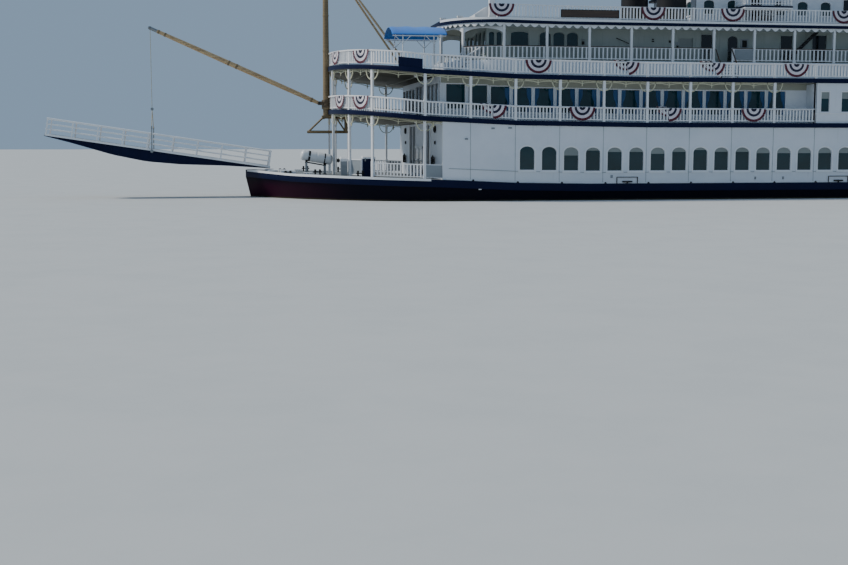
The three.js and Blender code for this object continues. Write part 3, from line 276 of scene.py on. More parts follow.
# %% Window glass
def make_glass(name, tint, roughness):
    material = bpy.data.materials.new(name)
    material.use_nodes = True
    nodes, links = material.node_tree.nodes, material.node_tree.links
    shader = nodes["Principled BSDF"]
    dial(shader, Coat_Weight=0.12, Coat_Roughness=0.04, Specular_IOR_Level=0.4, Roughness=roughness)
    soft = place_group(nodes, MOTTLE, 0.7)
    shade = mix_colour(nodes, links, soft.outputs["Mask"], tint, tuple(0.45 * c for c in tint[:3]) + (1.0,))
    links.new(shade, shader.inputs["Base Color"])
    wave = stretched_noise(nodes, links, (9, 9, 6), detail=1)
    add_relief(nodes, links, shader, wave.outputs["Fac"], 0.25, 0.002)
    return material


GLASS = make_glass("dark_window_glass", rgb(14, 56, 64), 0.06)
DOOR_GLASS = make_glass("dark_door_glass", rgb(12, 18, 26), 0.1)
# Pale grey-green for pale sashes, a drawn blind and dark seam lines; it also paints the sky reflection in the
# arched main windows, and shade under a ledge and on the gallery's header.
BLIND_REFLECTION_SHADE = coat("blind_reflection_and_shade", rgb(146, 154, 152), rgb(120, 130, 128), GRIME, 0.8, streaks=0.0, shine=0.2)
print("glass:", GLASS.name, DOOR_GLASS.name)

# %% [markdown]
# The hull wears two paints. The topsides are near-black, and low down towards the bow they show a deep
# maroon: that is the real lower paint, and aft of the bow it is left near-black as painted shade. Below the
# waterline there is dull red bottom paint with growth along the line. A gradient along the boat and one up
# the side choose between them, both from Object coordinates.

# %% Hull paint
def axis_value(nodes, links, axis):
    place = nodes.new("ShaderNodeTexCoord")
    split = nodes.new("ShaderNodeSeparateXYZ")
    links.new(place.outputs["Object"], split.inputs["Vector"])
    return split.outputs[axis]


def make_hull_paint():
    # Both topside colours are darker than the navy paint they stand for: painted shade.
    material = coat("hull_paint_and_painted_shade", rgb(6, 7, 22), rgb(9, 10, 28), rgb(28, 27, 38), 0.5, streaks=0.45,
                    mottle=0.6, shine=0.07)
    nodes, links = material.node_tree.nodes, material.node_tree.links
    shader = nodes["Principled BSDF"]
    topside = shader.inputs["Base Color"].links[0].from_socket
    # The maroon lower paint shows only low down towards the bow; aft of it the same paint is left near-black, a
    # painted shade.
    sunlit_toward_bow = band(nodes, links, axis_value(nodes, links, "X"), 3.4, 4.0)
    low_down = band(nodes, links, axis_value(nodes, links, "Z"), 0.36, 0.28)
    bow = mix_colour(nodes, links, math_node(nodes, links, "MULTIPLY", sunlit_toward_bow, low_down), topside,
                     rgb(46, 10, 34))
    ragged = stretched_noise(nodes, links, (14, 14, 60), detail=5)
    line = math_node(nodes, links, "ADD", axis_value(nodes, links, "Z"),
                     math_node(nodes, links, "MULTIPLY", ragged.outputs["Fac"], 0.012))
    scum = mix_colour(nodes, links, band(nodes, links, line, 0.231, 0.225), bow, rgb(62, 58, 46))
    bottom = mix_colour(nodes, links, band(nodes, links, line, 0.2155, 0.2145), scum, rgb(92, 36, 32))
    links.new(bottom, shader.inputs["Base Color"])
    return material


HULL_PAINT = make_hull_paint()
print("hull paint nodes:", len(HULL_PAINT.node_tree.nodes))

# %% [markdown]
# Every piece of joinery is built from a few plain solids: lofts between sections, boxes, bars, posts that
# follow the deck's sheer, and ribbons that follow a path. `Joinery` collects corners and faces in
# millimetres, and `fit` turns them into one mesh object in metres and rides it on its body.

# %% A workbench for joinery
MM = 0.001
SIDES = (("port", 1), ("starboard", -1))


def around(count, shift=0.0):
    """Cosine and sine of even steps round a circle; shift is a share of a step."""
    angles = [math.tau * (i + shift) / count for i in range(count)]
    return [(math.cos(a), math.sin(a)) for a in angles]


def across(x, y0, y1, z0, z1):
    """A section across the boat: its four corners at one X."""
    return [(x, y0, z0), (x, y1, z0), (x, y1, z1), (x, y0, z1)]


def upright(x, y, dx, dy, low, high):
    """A thin upright section, half of its thickness on each side of a point."""
    return [(x + dx, y + dy, low), (x - dx, y - dy, low), (x - dx, y - dy, high), (x + dx, y + dy, high)]


def about(axis, centre, radius, turn, height):
    """A point at a radius and a height about an axis through the centre."""
    u, v = radius * turn[0], radius * turn[1]
    point = {"X": (height, u, v), "Y": (u, height, v), "Z": (u, v, height)}[axis]
    return tuple(c + p for c, p in zip(centre, point))


def new_piece(name, corners, faces, materials, marks=None):
    """A mesh object in metres from corners in millimetres; marks are the faces' material numbers."""
    mesh = bpy.data.meshes.new(name)
    mesh.from_pydata([(x * MM, y * MM, z * MM) for x, y, z in corners], [], faces)
    for material in materials:
        mesh.materials.append(material)
    if marks:
        mesh.polygons.foreach_set("material_index", marks)
    piece = bpy.data.objects.new(name, mesh)
    bpy.context.scene.collection.objects.link(piece)
    return piece, mesh


def seat(piece, body, replaces=()):
    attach(piece, body)
    if replaces:
        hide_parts(*replaces)


class Joinery:
    def __init__(self):
        self.corners, self.faces, self.finish = [], [], []

    def add(self, corners, faces, finish=0):
        first = len(self.corners)
        self.corners += [tuple(c) for c in corners]
        self.faces += [tuple(first + i for i in face) for face in faces]
        self.finish += finish if isinstance(finish, list) else [finish] * len(faces)

    def loft(self, sections, ring=False, caps=True, finish=0, sides=None):
        """Quads between sections of equal length; sides gives each strip of quads its own finish."""
        count, rows = len(sections[0]), len(sections)
        faces, marks = [], []
        for s in range(rows if ring else rows - 1):
            here, there = s * count, (s + 1) % rows * count
            for p in range(count):
                q = (p + 1) % count
                faces.append((here + p, here + q, there + q, there + p))
                marks.append(sides[p] if sides else finish)
        if caps and not ring:
            faces += [tuple(range(count))[::-1], tuple(range((rows - 1) * count, rows * count))]
            marks += [finish, finish]
        self.add([c for section in sections for c in section], faces, marks)

    def beam(self, rows, finish=0):
        """A beam through rows of X, Y from and to, Z from and to."""
        self.loft([across(*row) for row in rows], finish=finish)

    def box(self, x0, x1, y0, y1, z0, z1, finish=0):
        self.beam([(x, y0, y1, z0, z1) for x in (x0, x1)], finish)

    def side_box(self, sign, x0, x1, y0, y1, z0, z1, finish=0):
        """A box on one side of the boat, its Y given as distances from the middle."""
        self.box(x0, x1, *sorted((sign * y0, sign * y1)), z0, z1, finish)

    def post(self, x, y, size, low, high, heading=0.0, finish=0, caps=True):
        half, c, t = size / 2, math.cos(heading), math.sin(heading)
        rows = []
        for level in (low, high):
            ring = []
            for u, v in ((-half, -half), (half, -half), (half, half), (-half, half)):
                px = x + u * c - v * t
                ring.append((px, y + u * t + v * c, level(px)))
            rows.append(ring)
        self.loft(rows, caps=caps, finish=finish)

    def ribbon(self, path, thickness, low, high, ring=False, finish=0):
        """A strip of one thickness along [x, y] points, between two levels that are functions of X."""
        count, sections = len(path), []
        for i, (x, y, *_) in enumerate(path):
            before = path[(i - 1) % count] if ring else path[max(i - 1, 0)]
            after = path[(i + 1) % count] if ring else path[min(i + 1, count - 1)]
            came, goes = Vector((x - before[0], y - before[1])), Vector((after[0] - x, after[1] - y))
            came = came.normalized() if came.length else goes.normalized()
            goes = goes.normalized() if goes.length else came
            along = (came + goes).normalized()
            reach = thickness / 2 / max(along.dot(came), 0.2)
            dx, dy = -along.y * reach, along.x * reach
            outer, inner = (x + dx, y + dy), (x - dx, y - dy)
            sections.append([(*p, end(p[0])) for p, end in ((outer, low), (inner, low), (inner, high),
                                                            (outer, high))])
        self.loft(sections, ring=ring, finish=finish)

    def bar(self, start, end, radius, sides=8, end_radius=None, finish=0):
        start, end = Vector(start), Vector(end)
        turn = Vector((0, 0, 1)).rotation_difference(end - start)
        self.loft([[centre + turn @ Vector((r * c, r * t, 0)) for c, t in around(sides)]
                   for centre, r in ((start, radius), (end, end_radius or radius))], finish=finish)

    def turned(self, profile, centre, sides=24, axis="Z", finish=0):
        """A turned shape: rows of radius and height about an axis."""
        self.loft([[about(axis, centre, radius, turn, height) for turn in around(sides)]
                   for radius, height in profile], finish=finish)

    def hoop(self, section, centre, sides=24, axis="Y", finish=0):
        """A ring: a closed section of radius and height points, carried round an axis."""
        self.loft([[about(axis, centre, radius, turn, height) for radius, height in section]
                   for turn in around(sides)], ring=True, finish=finish)

    def fit(self, name, body, finishes, slot, replaces=(), smooth=None, bevel=0.0):
        piece, mesh = new_piece(name, self.corners, self.faces, finishes, self.finish)
        work = bmesh.new()
        work.from_mesh(mesh)
        bmesh.ops.recalc_face_normals(work, faces=work.faces)
        work.to_mesh(mesh)
        work.free()
        if smooth:
            mesh.shade_smooth()
            mesh.set_sharp_from_angle(angle=math.radians(smooth))
        if bevel:
            round_off = piece.modifiers.new("soft_edges", "BEVEL")
            round_off.width = bevel * MM
            round_off.segments = 2
            round_off.limit_method = "ANGLE"
        seat(piece, body, replaces)
        print(f"{name}: {len(mesh.polygons)} faces")


def mirrored(path):
    return [(x, -y, -(rest[0] if rest else 0)) for x, y, *rest in path]


def on_side(path, sign):
    return path if sign > 0 else mirrored(path)


print("workbench ready")

# %% [markdown]
# The lines of the boat are a short list of numbers: the half breadth, the columns' spacing, the levels of
# the decks, and the sheer, which is how much each deck rises towards the bow. Keeping them in one cell
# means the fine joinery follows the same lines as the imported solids.

# %% Lines of the boat
HALF_BEAM, BAY, COL0, NOSE, INSET = 968, 305, 3020, 557, 18
BOW, TRANSOM, DECK_AFT = 4175, -4175, -4120
HULL_TOP, MAIN_DECK, DECK2, DECK3, GALLERY, DECK4 = 274, 324, (703, 734), (1009, 1040), 1168, (1412, 1443)
SIDE_LINE = HALF_BEAM - INSET
HULL_SHEER = [(1900, 0), (2400, 9), (2900, 31), (3880, 60), (4175, 83)]
DECK_SHEER = [(1500, 0), (2400, 12), (COL0, 40), (3580, 100)]
ROOF_SHEER = [(2000, 0), (2560, 9), (2850, 20)]


def sheer(table):
    def rise(x):
        if x <= table[0][0]:
            return 0
        for (x0, z0), (x1, z1) in zip(table, table[1:]):
            if x <= x1:
                return z0 + (z1 - z0) * (x - x0) / (x1 - x0)
        return table[-1][1]
    return rise


hull_rise, deck_rise, roof_rise = sheer(HULL_SHEER), sheer(DECK_SHEER), sheer(ROOF_SHEER)


def level(base, rise):
    return lambda x: base + rise(x)


def flat(base):
    return lambda x: base


def nose_point(angle, out=0.0, inset=INSET):
    """Place and heading at one angle of the rounded deck end, 0 at the side and 90 at the stem."""
    reach, half = NOSE - inset + out, HALF_BEAM - inset + out
    c, t = math.cos(math.radians(angle)), math.sin(math.radians(angle))
    return (COL0 + reach * t, half * c, -math.atan2(half * t, reach * c))


def side_x(bay):
    return COL0 - bay * BAY


print("columns from", side_x(0), "to", side_x(8), "mm")

# %% [markdown]
# The hull of such a boat is a broad barge with a flat bottom, a tight round bilge, nearly upright sides and
# a spoon bow. It could be sculpted, but a shipwright draws stations: sections across the hull at measured
# places. We loft between stations, with more of them where the bow curves, so the plating stays smooth.

# %% Hull
BOW_START = 2600
# X, flat bottom's share of the breadth, bottom height, forward lean below
HULL_TABLE = [(TRANSOM, 0.9, 150, 0), (-3600, 0.93, 0, 0), (1900, 0.93, 0, 0), (2400, 0.93, 0, 0),
              (2900, 0.9, 0, 0), (3310, 0.84, 0, 0), (3600, 0.74, 20, 0), (3880, 0.62, 60, -10),
              (4060, 0.5, 110, -25), (4150, 0.4, 150, -38), (4172, 0.2, 165, -45)]
BILGE = 55


def hull_half(x):
    if x <= BOW_START:
        return HALF_BEAM
    return HALF_BEAM * (1 - ((x - BOW_START) / (BOW - BOW_START)) ** 3)


def eased(column, x):
    """A column of the hull's table between its rows, with a smooth curve forward of the straight side."""
    rows = HULL_TABLE
    i = max(j for j in range(len(rows) - 1) if rows[j][0] <= x or j == 0)
    (x0, *_), (x1, *_) = rows[i], rows[i + 1]
    t = (x - x0) / (x1 - x0)
    a, b = rows[i][column], rows[i + 1][column]
    if x < 2900 or i + 2 >= len(rows):
        return a + (b - a) * t
    before = (b - rows[i - 1][column]) / (x1 - rows[i - 1][0]) * (x1 - x0)
    after = (rows[i + 2][column] - a) / (rows[i + 2][0] - x0) * (x1 - x0)
    return (a * (1 + 2 * t) * (1 - t) ** 2 + b * t * t * (3 - 2 * t)
            + before * t * (1 - t) ** 2 + after * t * t * (t - 1))


def hull_section(x):
    half, flat_share, bottom, lean = hull_half(x), eased(1, x), eased(2, x), eased(3, x)
    top = HULL_TOP - 0.3 + hull_rise(x)
    flat_half, knuckle = half * flat_share, half * (flat_share + 0.055)
    side = [(x + lean, 0.0, bottom), (x + lean, flat_half * 0.6, bottom)]
    for i in range(5):
        a = math.pi / 2 * i / 4
        side.append((x + lean * (1 - 0.2 * i / 4), flat_half + (knuckle - flat_half) * math.sin(a),
                     bottom + BILGE * (1 - math.cos(a))))
    for share in (0.3, 0.65, 1.0):
        side.append((x + lean * 0.8 * (1 - share), knuckle + (half - knuckle) * share,
                     bottom + BILGE + (top - bottom - BILGE) * share))
    return side + [(px, -py, pz) for px, py, pz in side[:0:-1]]


bow_stations = [2600 + 60 * i for i in range(26)] + [4150, 4163, 4172]
stations = [TRANSOM, -4080, -3900, -3720, -3600, 0, 1900, 2150, 2400] + bow_stations
job = Joinery()
job.loft([hull_section(x) for x in stations])
job.fit("hull_plating", "root", [HULL_PAINT], "hull_paint", replaces=["hull"], smooth=35)

# %% [markdown]
# The main deck lies on the hull with a navy guard round its edge. Forward it carries a white nosing, and the
# mooring bitts are turned iron posts in pairs, joined by a bar. A real deck has a crown and joints in its
# plating; here thin welt lines and a coarse paint show the same.

# %% Main deck
GUARD = 6


def main_top(x):
    return MAIN_DECK + hull_rise(x)


def deck_slab(job, xs, half, low, high, finishes=(0, 1, 2), lip=2.0):
    """A deck with a small rounded lip: finishes are the edge, the walking surface and the underside."""
    edge, top, under = finishes
    sections = []
    for x in xs:
        h, a, b = half(x), low(x), high(x)
        cut = min(lip, h * 0.5)
        sections.append([(x, -h + cut, a), (x, h - cut, a), (x, h, a + lip), (x, h, b - lip), (x, h - cut, b),
                         (x, -h + cut, b), (x, -h, b - lip), (x, -h, a + lip)])
    job.loft(sections, finish=edge, sides=[under, edge, edge, edge, top, edge, edge, edge])


job = Joinery()
deck_slab(job, [TRANSOM, -2000, 0, 1900, 2400] + bow_stations[1:], lambda x: hull_half(x) + GUARD,
          level(HULL_TOP, hull_rise), main_top, finishes=(0, 1, 0))
nosing = [(x, hull_half(x) + GUARD - 1.5) for x in [2980 + 60 * i for i in range(19)] + [4100, 4140, 4160]]
for path in (nosing, mirrored(nosing)):
    job.ribbon(path, 5, lambda x: main_top(x) - 11, lambda x: main_top(x) + 5, finish=2)
for x in [2900 - BAY * i for i in range(23)]:
    for y0, y1 in ((953, 973), (-973, -953)):
        job.box(x - 2, x + 2, y0, y1, main_top(x) - 1, main_top(x) + 0.8)
BITT_PROFILE = [(0.1, -8), (7, -8), (7, 0), (6, 2), (6, 30), (7.5, 33), (7.5, 38), (5, 42), (0.1, 42.5)]
for x, y, height in ((3420, 690, 42), (3700, 580, 42), (3890, 390, 22)):
    for side in (y, -y):
        stretch = [(r, h if h < 0 else h * height / 42.5) for r, h in BITT_PROFILE]
        for dx in (-16, 16):
            job.turned(stretch, (x + dx, side, main_top(x)), sides=16, finish=3)
        job.bar((x - 30, side, main_top(x) + height * 0.55), (x + 30, side, main_top(x) + height * 0.55),
                     4, 12, finish=3)
job.fit("main_deck_plating", "root", [NAVY, WALKWAY, TRIM, BLACK], "navy_paint", replaces=["main_deck"],
             smooth=40)

# %% [markdown]
# Decks two and three are thin slabs with straight sides and a rounded forward end. Seen from the bank they
# are two long navy stripes with pale soffits underneath. The soffit gets beams across at every bay, and the
# rounded end has a ceiling of grained boards painted dark as painted shade, for the deep shade under the nose.

# %% Promenade decks
KNOTS = [1500, 2400, COL0]


def deck_half(x):
    return HALF_BEAM if x <= COL0 else HALF_BEAM * math.sqrt(max(1 - ((x - COL0) / NOSE) ** 2, 0))


nose_stations = [COL0 + NOSE * math.sin(math.radians(a)) for a in range(4, 88, 4)]
# The ceiling under the rounded end is painted dark: painted shade for the deep shade under the nose.
SHADED_CEILING = coat("ceiling_boards_painted_shade", rgb(100, 98, 82), rgb(82, 80, 66), GRIME, 0.6, streaks=0.0, grain=0.5,
               shine=0.3)
for name, node, (low, high) in (("deck2_slab", "deck2", DECK2), ("deck3_slab", "deck3", DECK3)):
    job = Joinery()
    deck_slab(job, [DECK_AFT, -2000, 0] + KNOTS + nose_stations, deck_half, level(low, deck_rise),
              level(high, deck_rise))
    for bay in range(-1, 22):
        x = side_x(bay) + 2
        wide = deck_half(x) - 25
        job.box(x - 5, x + 5, -wide, wide, low + deck_rise(x) - 6, low + deck_rise(x) + 1, finish=2)
    under = [(x, deck_half(x) - 30, low + deck_rise(x)) for x in [2910, COL0] + nose_stations[:-3]]
    job.beam([(x, -wide, wide, z - 3, z + 1) for x, wide, z in under], finish=3)
    job.fit(name, "root", [NAVY, WALKWAY, CREAM, SHADED_CEILING], "navy_paint", replaces=[node], smooth=40)

# %% [markdown]
# A deckhouse wall is a thin plate with windows cut in it. We draw each bay as a flat outline with holes,
# let Blender fill the outline with triangles, and give the plate its thickness, so each window has a real
# reveal. Round the hole goes a raised surround, and a pane sits inside it.

# %% Walls with windows
from collections import namedtuple
from mathutils.geometry import tessellate_polygon

# The pale fourth finish also paints the sky reflection in the arched main windows and a shadow line; the cream
# sixth paints the shade above the salon windows.
PLATE, SURROUND, PANE, SHADE, DOOR_PANE, SHADED_BAND = range(6)
HOUSE_FINISHES = [WHITE, TRIM, GLASS, BLIND_REFLECTION_SHADE, DOOR_GLASS, CREAM]
WALL = 14.0
window = namedtuple("window", "centre base width height arch frame shade pane sill split",
                    defaults=(0.0, 8.0, 0.0, PANE, True, False))


def oblong(half, low, high):
    return [(-half, low), (half, low), (half, high), (-half, high)]


def outline(width, height, arch=0.0, segments=12):
    """A window's outline from its bottom left, anticlockwise; arch is the arched top's height."""
    half = width / 2
    if not arch:
        return oblong(half, 0, height)
    top = [(half * math.cos(math.pi * i / segments), height - arch + arch * math.sin(math.pi * i / segments))
           for i in range(segments + 1)]
    return [(-half, 0), (half, 0)] + top


def dress_window(job, spot, w):
    """The surround, sash, pale top, pane, glazing bar and sill of one window; the pale top is a pale upper sash on
    the aft cabin windows and a painted sky reflection on the arched main windows.
    """
    def place(points, depth):
        return [spot(w.centre + u, w.base + v, depth) for u, v in points]

    def border(inner, outer, near, far):
        job.loft(list(zip(place(inner, near), place(outer, near), place(outer, far), place(inner, far))),
                 ring=True, finish=SURROUND)

    def slab(points, near, far, finish=SURROUND):
        job.loft([place(points, near), place(points, far)], finish=finish)

    half, f, cut = w.width / 2, w.frame, w.height * (1 - w.shade)
    inner = outline(w.width, w.height, w.arch)
    outer = [(u, v - f) for u, v in outline(w.width + 2 * f, w.height + 2 * f, w.arch and w.arch + f)]
    border(inner, outer, -3.5, 1)
    border([(u * (1 - 4 / w.width), 2 + v * (1 - 4 / w.height)) for u, v in inner], inner, 3, 7)
    # The pale top: a pale upper sash on the aft cabin windows, a painted sky reflection on the arched main windows.
    if w.shade:
        slab([(-half, cut), (half, cut)] + [(u, v) for u, v in inner[2:] if v >= cut], 5.6, 8, SHADE)
    slab(oblong(half, 0, cut) if w.shade else inner, 5, 8, w.pane)
    if w.split:
        middle = w.height * 0.52
        slab(oblong(half, middle - 2.5, middle + 2.5), 2, 6)
    if w.sill:
        slab(oblong(half + f + 3, -f - 4, -f), -8, 2)


def stops(start, end, marks):
    return [start] + sorted(m for m in marks if start < m < end) + [end]


def wall(job, spot, u0, u1, low, high, seams=(), knots=(), windows=()):
    """A plate from u0 to u1 between two levels, cut at its seams, with a hole for each window."""
    cuts = stops(u0, u1, seams)
    for a, b in zip(cuts, cuts[1:]):
        marks = stops(a, b, knots)
        edge = [(u, low(u)) for u in marks] + [(u, high(u)) for u in reversed(marks)]
        loops = [edge] + [[(w.centre + u, w.base + v) for u, v in outline(w.width, w.height, w.arch)]
                          for w in windows if a < w.centre <= b]
        triangles = tessellate_polygon([[Vector((u, v, 0)) for u, v in loop] for loop in loops])
        for depth in (0, WALL):
            job.add([spot(u, v, depth) for loop in loops for u, v in loop], triangles)
        for loop in loops:
            for p, q in zip(loop, loop[1:] + loop[:1]):
                at_seam = loop is edge and p[0] == q[0] and p[0] not in (u0, u1)
                if not at_seam:
                    job.add([spot(*p, 0), spot(*q, 0), spot(*q, WALL), spot(*p, WALL)], [(0, 1, 2, 3)])
    for w in windows:
        if w.pane is not None:
            dress_window(job, spot, w)


def facing_side(plane, sign):
    return lambda u, v, depth: (u, sign * (plane - depth), v)


def facing_end(plane, way):
    return lambda u, v, depth: (plane - way * depth, u, v)


def end_wall(job, plane, way, half, low, high, windows, seams=()):
    """A wall across the boat that faces forward or aft, between two heights."""
    wall(job, facing_end(plane, way), -half, half, flat(low), flat(high), seams, (), windows)


def seam_battens(job, spot, seams, low, high, width=5.0, finish=SURROUND):
    for u in seams:
        a, b = u - width / 2, u + width / 2
        job.loft([[spot(a, low(u), d), spot(b, low(u), d), spot(b, high(u), d), spot(a, high(u), d)]
                  for d in (-1.4, 0.5)], finish=finish)


def ledge(job, spot, u0, u1, base, knots=(), height=4.0, proud=3.0, finish=SURROUND):
    job.loft([[spot(u, base(u), -proud), spot(u, base(u) + height, -proud), spot(u, base(u) + height, 0.5),
               spot(u, base(u), 0.5)] for u in stops(u0, u1, knots)], finish=finish)


print("wall tools ready")

# %% [markdown]
# The main deck house is plated flush with the side. Its windows are tall with arched heads, two to a bay,
# with bright surrounds. Seams mark the plates at every column, and a ledge runs below the sills.

# %% Main deck house
MAIN_FRONT, MAIN_AFT, MAIN_SIDE, PLATE_HALF, HALF_BAY = 2893, -3900, 945, 7, BAY / 2
main_face = MAIN_SIDE + PLATE_HALF
main_high = lambda x: DECK2[0] - 0.5 + deck_rise(x)
main_low = lambda x: main_top(x) + 0.5
main_seams = [side_x(i) for i in range(1, 23)]
LEVEL_KNOTS = [1500, 1900, 2400]
ARCH_WINDOW = dict(width=102, height=159, arch=37, frame=9)
# How far down the pale top of each of the first windows reaches, a painted sky reflection; the others show a short
# stretch
REFLECTION_SHARES = {0: 0, 1: 0, 2: 0.36, 3: 0.14, 6: 0.28, 8: 0.12}
main_windows = [window(x, 410 + hull_rise(x), shade=REFLECTION_SHARES.get(i, 0.2 if i < 11 else 0.26), **ARCH_WINDOW)
                for i, x in enumerate(side_x(2) - 82 - HALF_BAY * i for i in range(39))]
job = Joinery()
for _, sign in SIDES:
    spot = facing_side(main_face, sign)
    wall(job, spot, MAIN_AFT - PLATE_HALF, MAIN_FRONT + PLATE_HALF, main_low, main_high, main_seams,
         LEVEL_KNOTS, main_windows)
    seam_battens(job, spot, main_seams, main_low, main_high, width=2.2, finish=SHADE)
    # This ledge is painted dark: a painted shadow line under it.
    ledge(job, spot, MAIN_AFT, 2860, lambda x: 399 + hull_rise(x), LEVEL_KNOTS, height=2.4, finish=SHADE)
    ledge(job, spot, MAIN_AFT, 2880, lambda x: main_low(x) + 0.5, LEVEL_KNOTS, height=9, proud=1.5)
porch_sill = main_top(MAIN_FRONT)
# The front's panes fill nearly its whole height in the darkest glass: real glazing, made this large and dark as
# painted shade for the shaded porch.
front_glass = main_high(MAIN_FRONT) - 14 - (porch_sill + 14)
front = [window(sign * y, porch_sill + 14, 126, front_glass, 0, 5, pane=DOOR_PANE, sill=False)
         for sign in (1, -1) for y in (250, 392)]
doorway = window(0, porch_sill + 22, 340, 193, pane=None)
end_wall(job, MAIN_FRONT + PLATE_HALF, 1, MAIN_SIDE, porch_sill + 0.5, main_high(MAIN_FRONT), front + [doorway],
         (-178, 178))
end_wall(job, MAIN_AFT - PLATE_HALF, -1, MAIN_SIDE, MAIN_DECK + 0.5, DECK2[0] - 0.5,
         [window(y, 430, 96, 130, 30) for y in (-750, -600, 600, 750)])
job.fit("main_house_walls", "root", HOUSE_FINISHES, "white_paint", replaces=["main_house"])

# %% [markdown]
# Behind the promenade the salon has a window in every half bay with narrow white posts between them. Aft of
# the last column the house comes out flush with the side, and its windows are smaller, with a pale upper
# sash. The same wall tools cut both.

# %% Deck two house
SALON_SIDE, FLUSH_X, HOUSE_AFT = 815, 275, -4050
salon_low, salon_high = level(DECK2[1] + 0.5, deck_rise), level(DECK3[0] - 0.5, deck_rise)
salon_face = SALON_SIDE + PLATE_HALF
half_bays = [side_x(0.5 * i) for i in range(1, 19)]
aft_seams = [side_x(i) for i in range(9, 24)]
CABIN_DOOR = dict(arch=0, pane=DOOR_PANE, sill=False, split=True)
salon_panes = [window(x - HALF_BAY / 2, 792 + deck_rise(x), 130, 166, 0, 4, sill=False) for x in half_bays
               if x - HALF_BAY > FLUSH_X]
cabin_panes = [window(204 - HALF_BAY * i, 812, 62, 138, 0, 5, shade=0.34) for i in range(27)]
job = Joinery()
for _, sign in SIDES:
    spot = facing_side(salon_face, sign)
    wall(job, spot, FLUSH_X + PLATE_HALF, MAIN_FRONT + PLATE_HALF, salon_low, salon_high, half_bays,
         LEVEL_KNOTS, salon_panes)
    ledge(job, spot, FLUSH_X + 10, MAIN_FRONT, lambda x: 782 + deck_rise(x), LEVEL_KNOTS, height=6)
    # The band above the salon windows is painted cream: painted shade, the warm bounce light under deck three.
    ledge(job, spot, FLUSH_X + 8, MAIN_FRONT, lambda x: 964 + deck_rise(x), LEVEL_KNOTS, height=44, proud=1.2,
          finish=SHADED_BAND)
    spot = facing_side(main_face, sign)
    wall(job, spot, HOUSE_AFT - PLATE_HALF, FLUSH_X + PLATE_HALF, salon_low, salon_high, aft_seams, (),
         cabin_panes)
    seam_battens(job, spot, aft_seams, salon_low, salon_high, width=3)
    ledge(job, spot, HOUSE_AFT, FLUSH_X, flat(798))
    wall(job, facing_end(FLUSH_X + PLATE_HALF, 1), *sorted((sign * (SALON_SIDE - 7), sign * main_face)),
         flat(DECK2[1] + 0.5), flat(DECK3[0] - 0.5))
front = [window(y, 800 + deck_rise(MAIN_FRONT), 128, 165, 0, 4, sill=False)
         for y in (-720, -570, -420, -270, 270, 420, 570, 720)]
front += [window(y, 746 + deck_rise(MAIN_FRONT), 126, 226, frame=4, **CABIN_DOOR) for y in (72, -72)]
end_wall(job, MAIN_FRONT + PLATE_HALF, 1, SALON_SIDE, salon_low(MAIN_FRONT), salon_high(MAIN_FRONT), front)
rear = [window(y, 812, 62, 138, 0, 5) for y in (-800, -640, -320, 320, 640, 800)]
rear.append(window(0, 740, 90, 200, frame=6, **CABIN_DOOR))
end_wall(job, HOUSE_AFT - PLATE_HALF, -1, MAIN_SIDE, DECK2[1] + 0.5, DECK3[0] - 0.5, rear)
job.fit("deck2_house_walls", "root", HOUSE_FINISHES, "white_paint", replaces=["deck2_house"])

# %% [markdown]
# On deck three the suites stand inside a raised gallery, under the roof. A suite shows one wide window and
# three arched ones close together. Amidships the wall is plain, with doors, a shaded window and a blank
# framed board, so each of those is one row of a table.

# %% Suites, texas house and pilothouse
SUITE_SIDE, SUITE_FRONT, SUITE_AFT = 470 + PLATE_HALF, 2500 + PLATE_HALF, -3800 - PLATE_HALF
SUITES = [2269, -779, -1389, -1999, -2609, -3219]
# Columns: centre, sill, width, height, arch, frame, shade, kind of pane, sill
SUITE_OPENINGS = [(1045, 1270, 104, 73, 0, 5, 0, SHADE, False), (888, 1178, 84, 194, 0, 5, 0, DOOR_PANE, False),
                  (690, 1178, 76, 186, 32, 5, 0, DOOR_PANE, False), (276, 1178, 92, 194, 0, 5, 0, DOOR_PANE, False),
                  (20, 1178, 112, 200, 0, 5, 0, DOOR_PANE, False), (-330, 1178, 74, 182, 0, 5, 0, DOOR_PANE, False)]
suite_high = level(DECK4[0] - 0.5, roof_rise)
suite_seams = [x for x in range(-3590, 2400, 305) if x < -700] + [1750, 1666, 1400, 1210, 970, 790, 450, 130]
panes = [window(x, 1275, wide, 94, 12, 4, sill=False) for x, wide in ((2470, 40), (2417, 36))]
for x in SUITES:
    panes += [window(x, 1275, 128, 98, 12, 5)] + [window(x - at, 1275, 82, 97, 24, 4) for at in (185, 284, 383)]
panes += [window(*row) for row in SUITE_OPENINGS]
job = Joinery()
for _, sign in SIDES:
    spot = facing_side(SUITE_SIDE, sign)
    wall(job, spot, SUITE_AFT, SUITE_FRONT, flat(GALLERY + 0.5), suite_high, suite_seams, (2000,), panes)
    seam_battens(job, spot, suite_seams, flat(GALLERY + 2), flat(1405), width=2.5)
    for k in range(1, 12):
        ledge(job, spot, SUITE_AFT + 4, SUITE_FRONT - 4, flat(GALLERY + 8 * k), height=1.2, proud=0.8, finish=PLATE)
front = [window(y, 1225, 112, 158, 30, 5) for y in (-400, -272, -144, 144, 272, 400)]
front.append(window(0, 1178, 130, 190, frame=5, **CABIN_DOOR))
end_wall(job, SUITE_FRONT, 1, SUITE_SIDE - PLATE_HALF, GALLERY + 0.5, suite_high(2500), front)
end_wall(job, SUITE_AFT, -1, SUITE_SIDE - PLATE_HALF, GALLERY + 0.5, DECK4[0] - 0.5,
         [window(y, 1265, 90, 105, 20, 5) for y in (-300, -120, 120, 300)])
# The suites' walls and surrounds are sage paint, darkened as painted shade under the gallery roof.
job.fit("gallery_house_walls", "root", [SAGE_SHADED, SAGE_SHADED, *HOUSE_FINISHES[2:]], "white_paint", replaces=["gallery_house"])

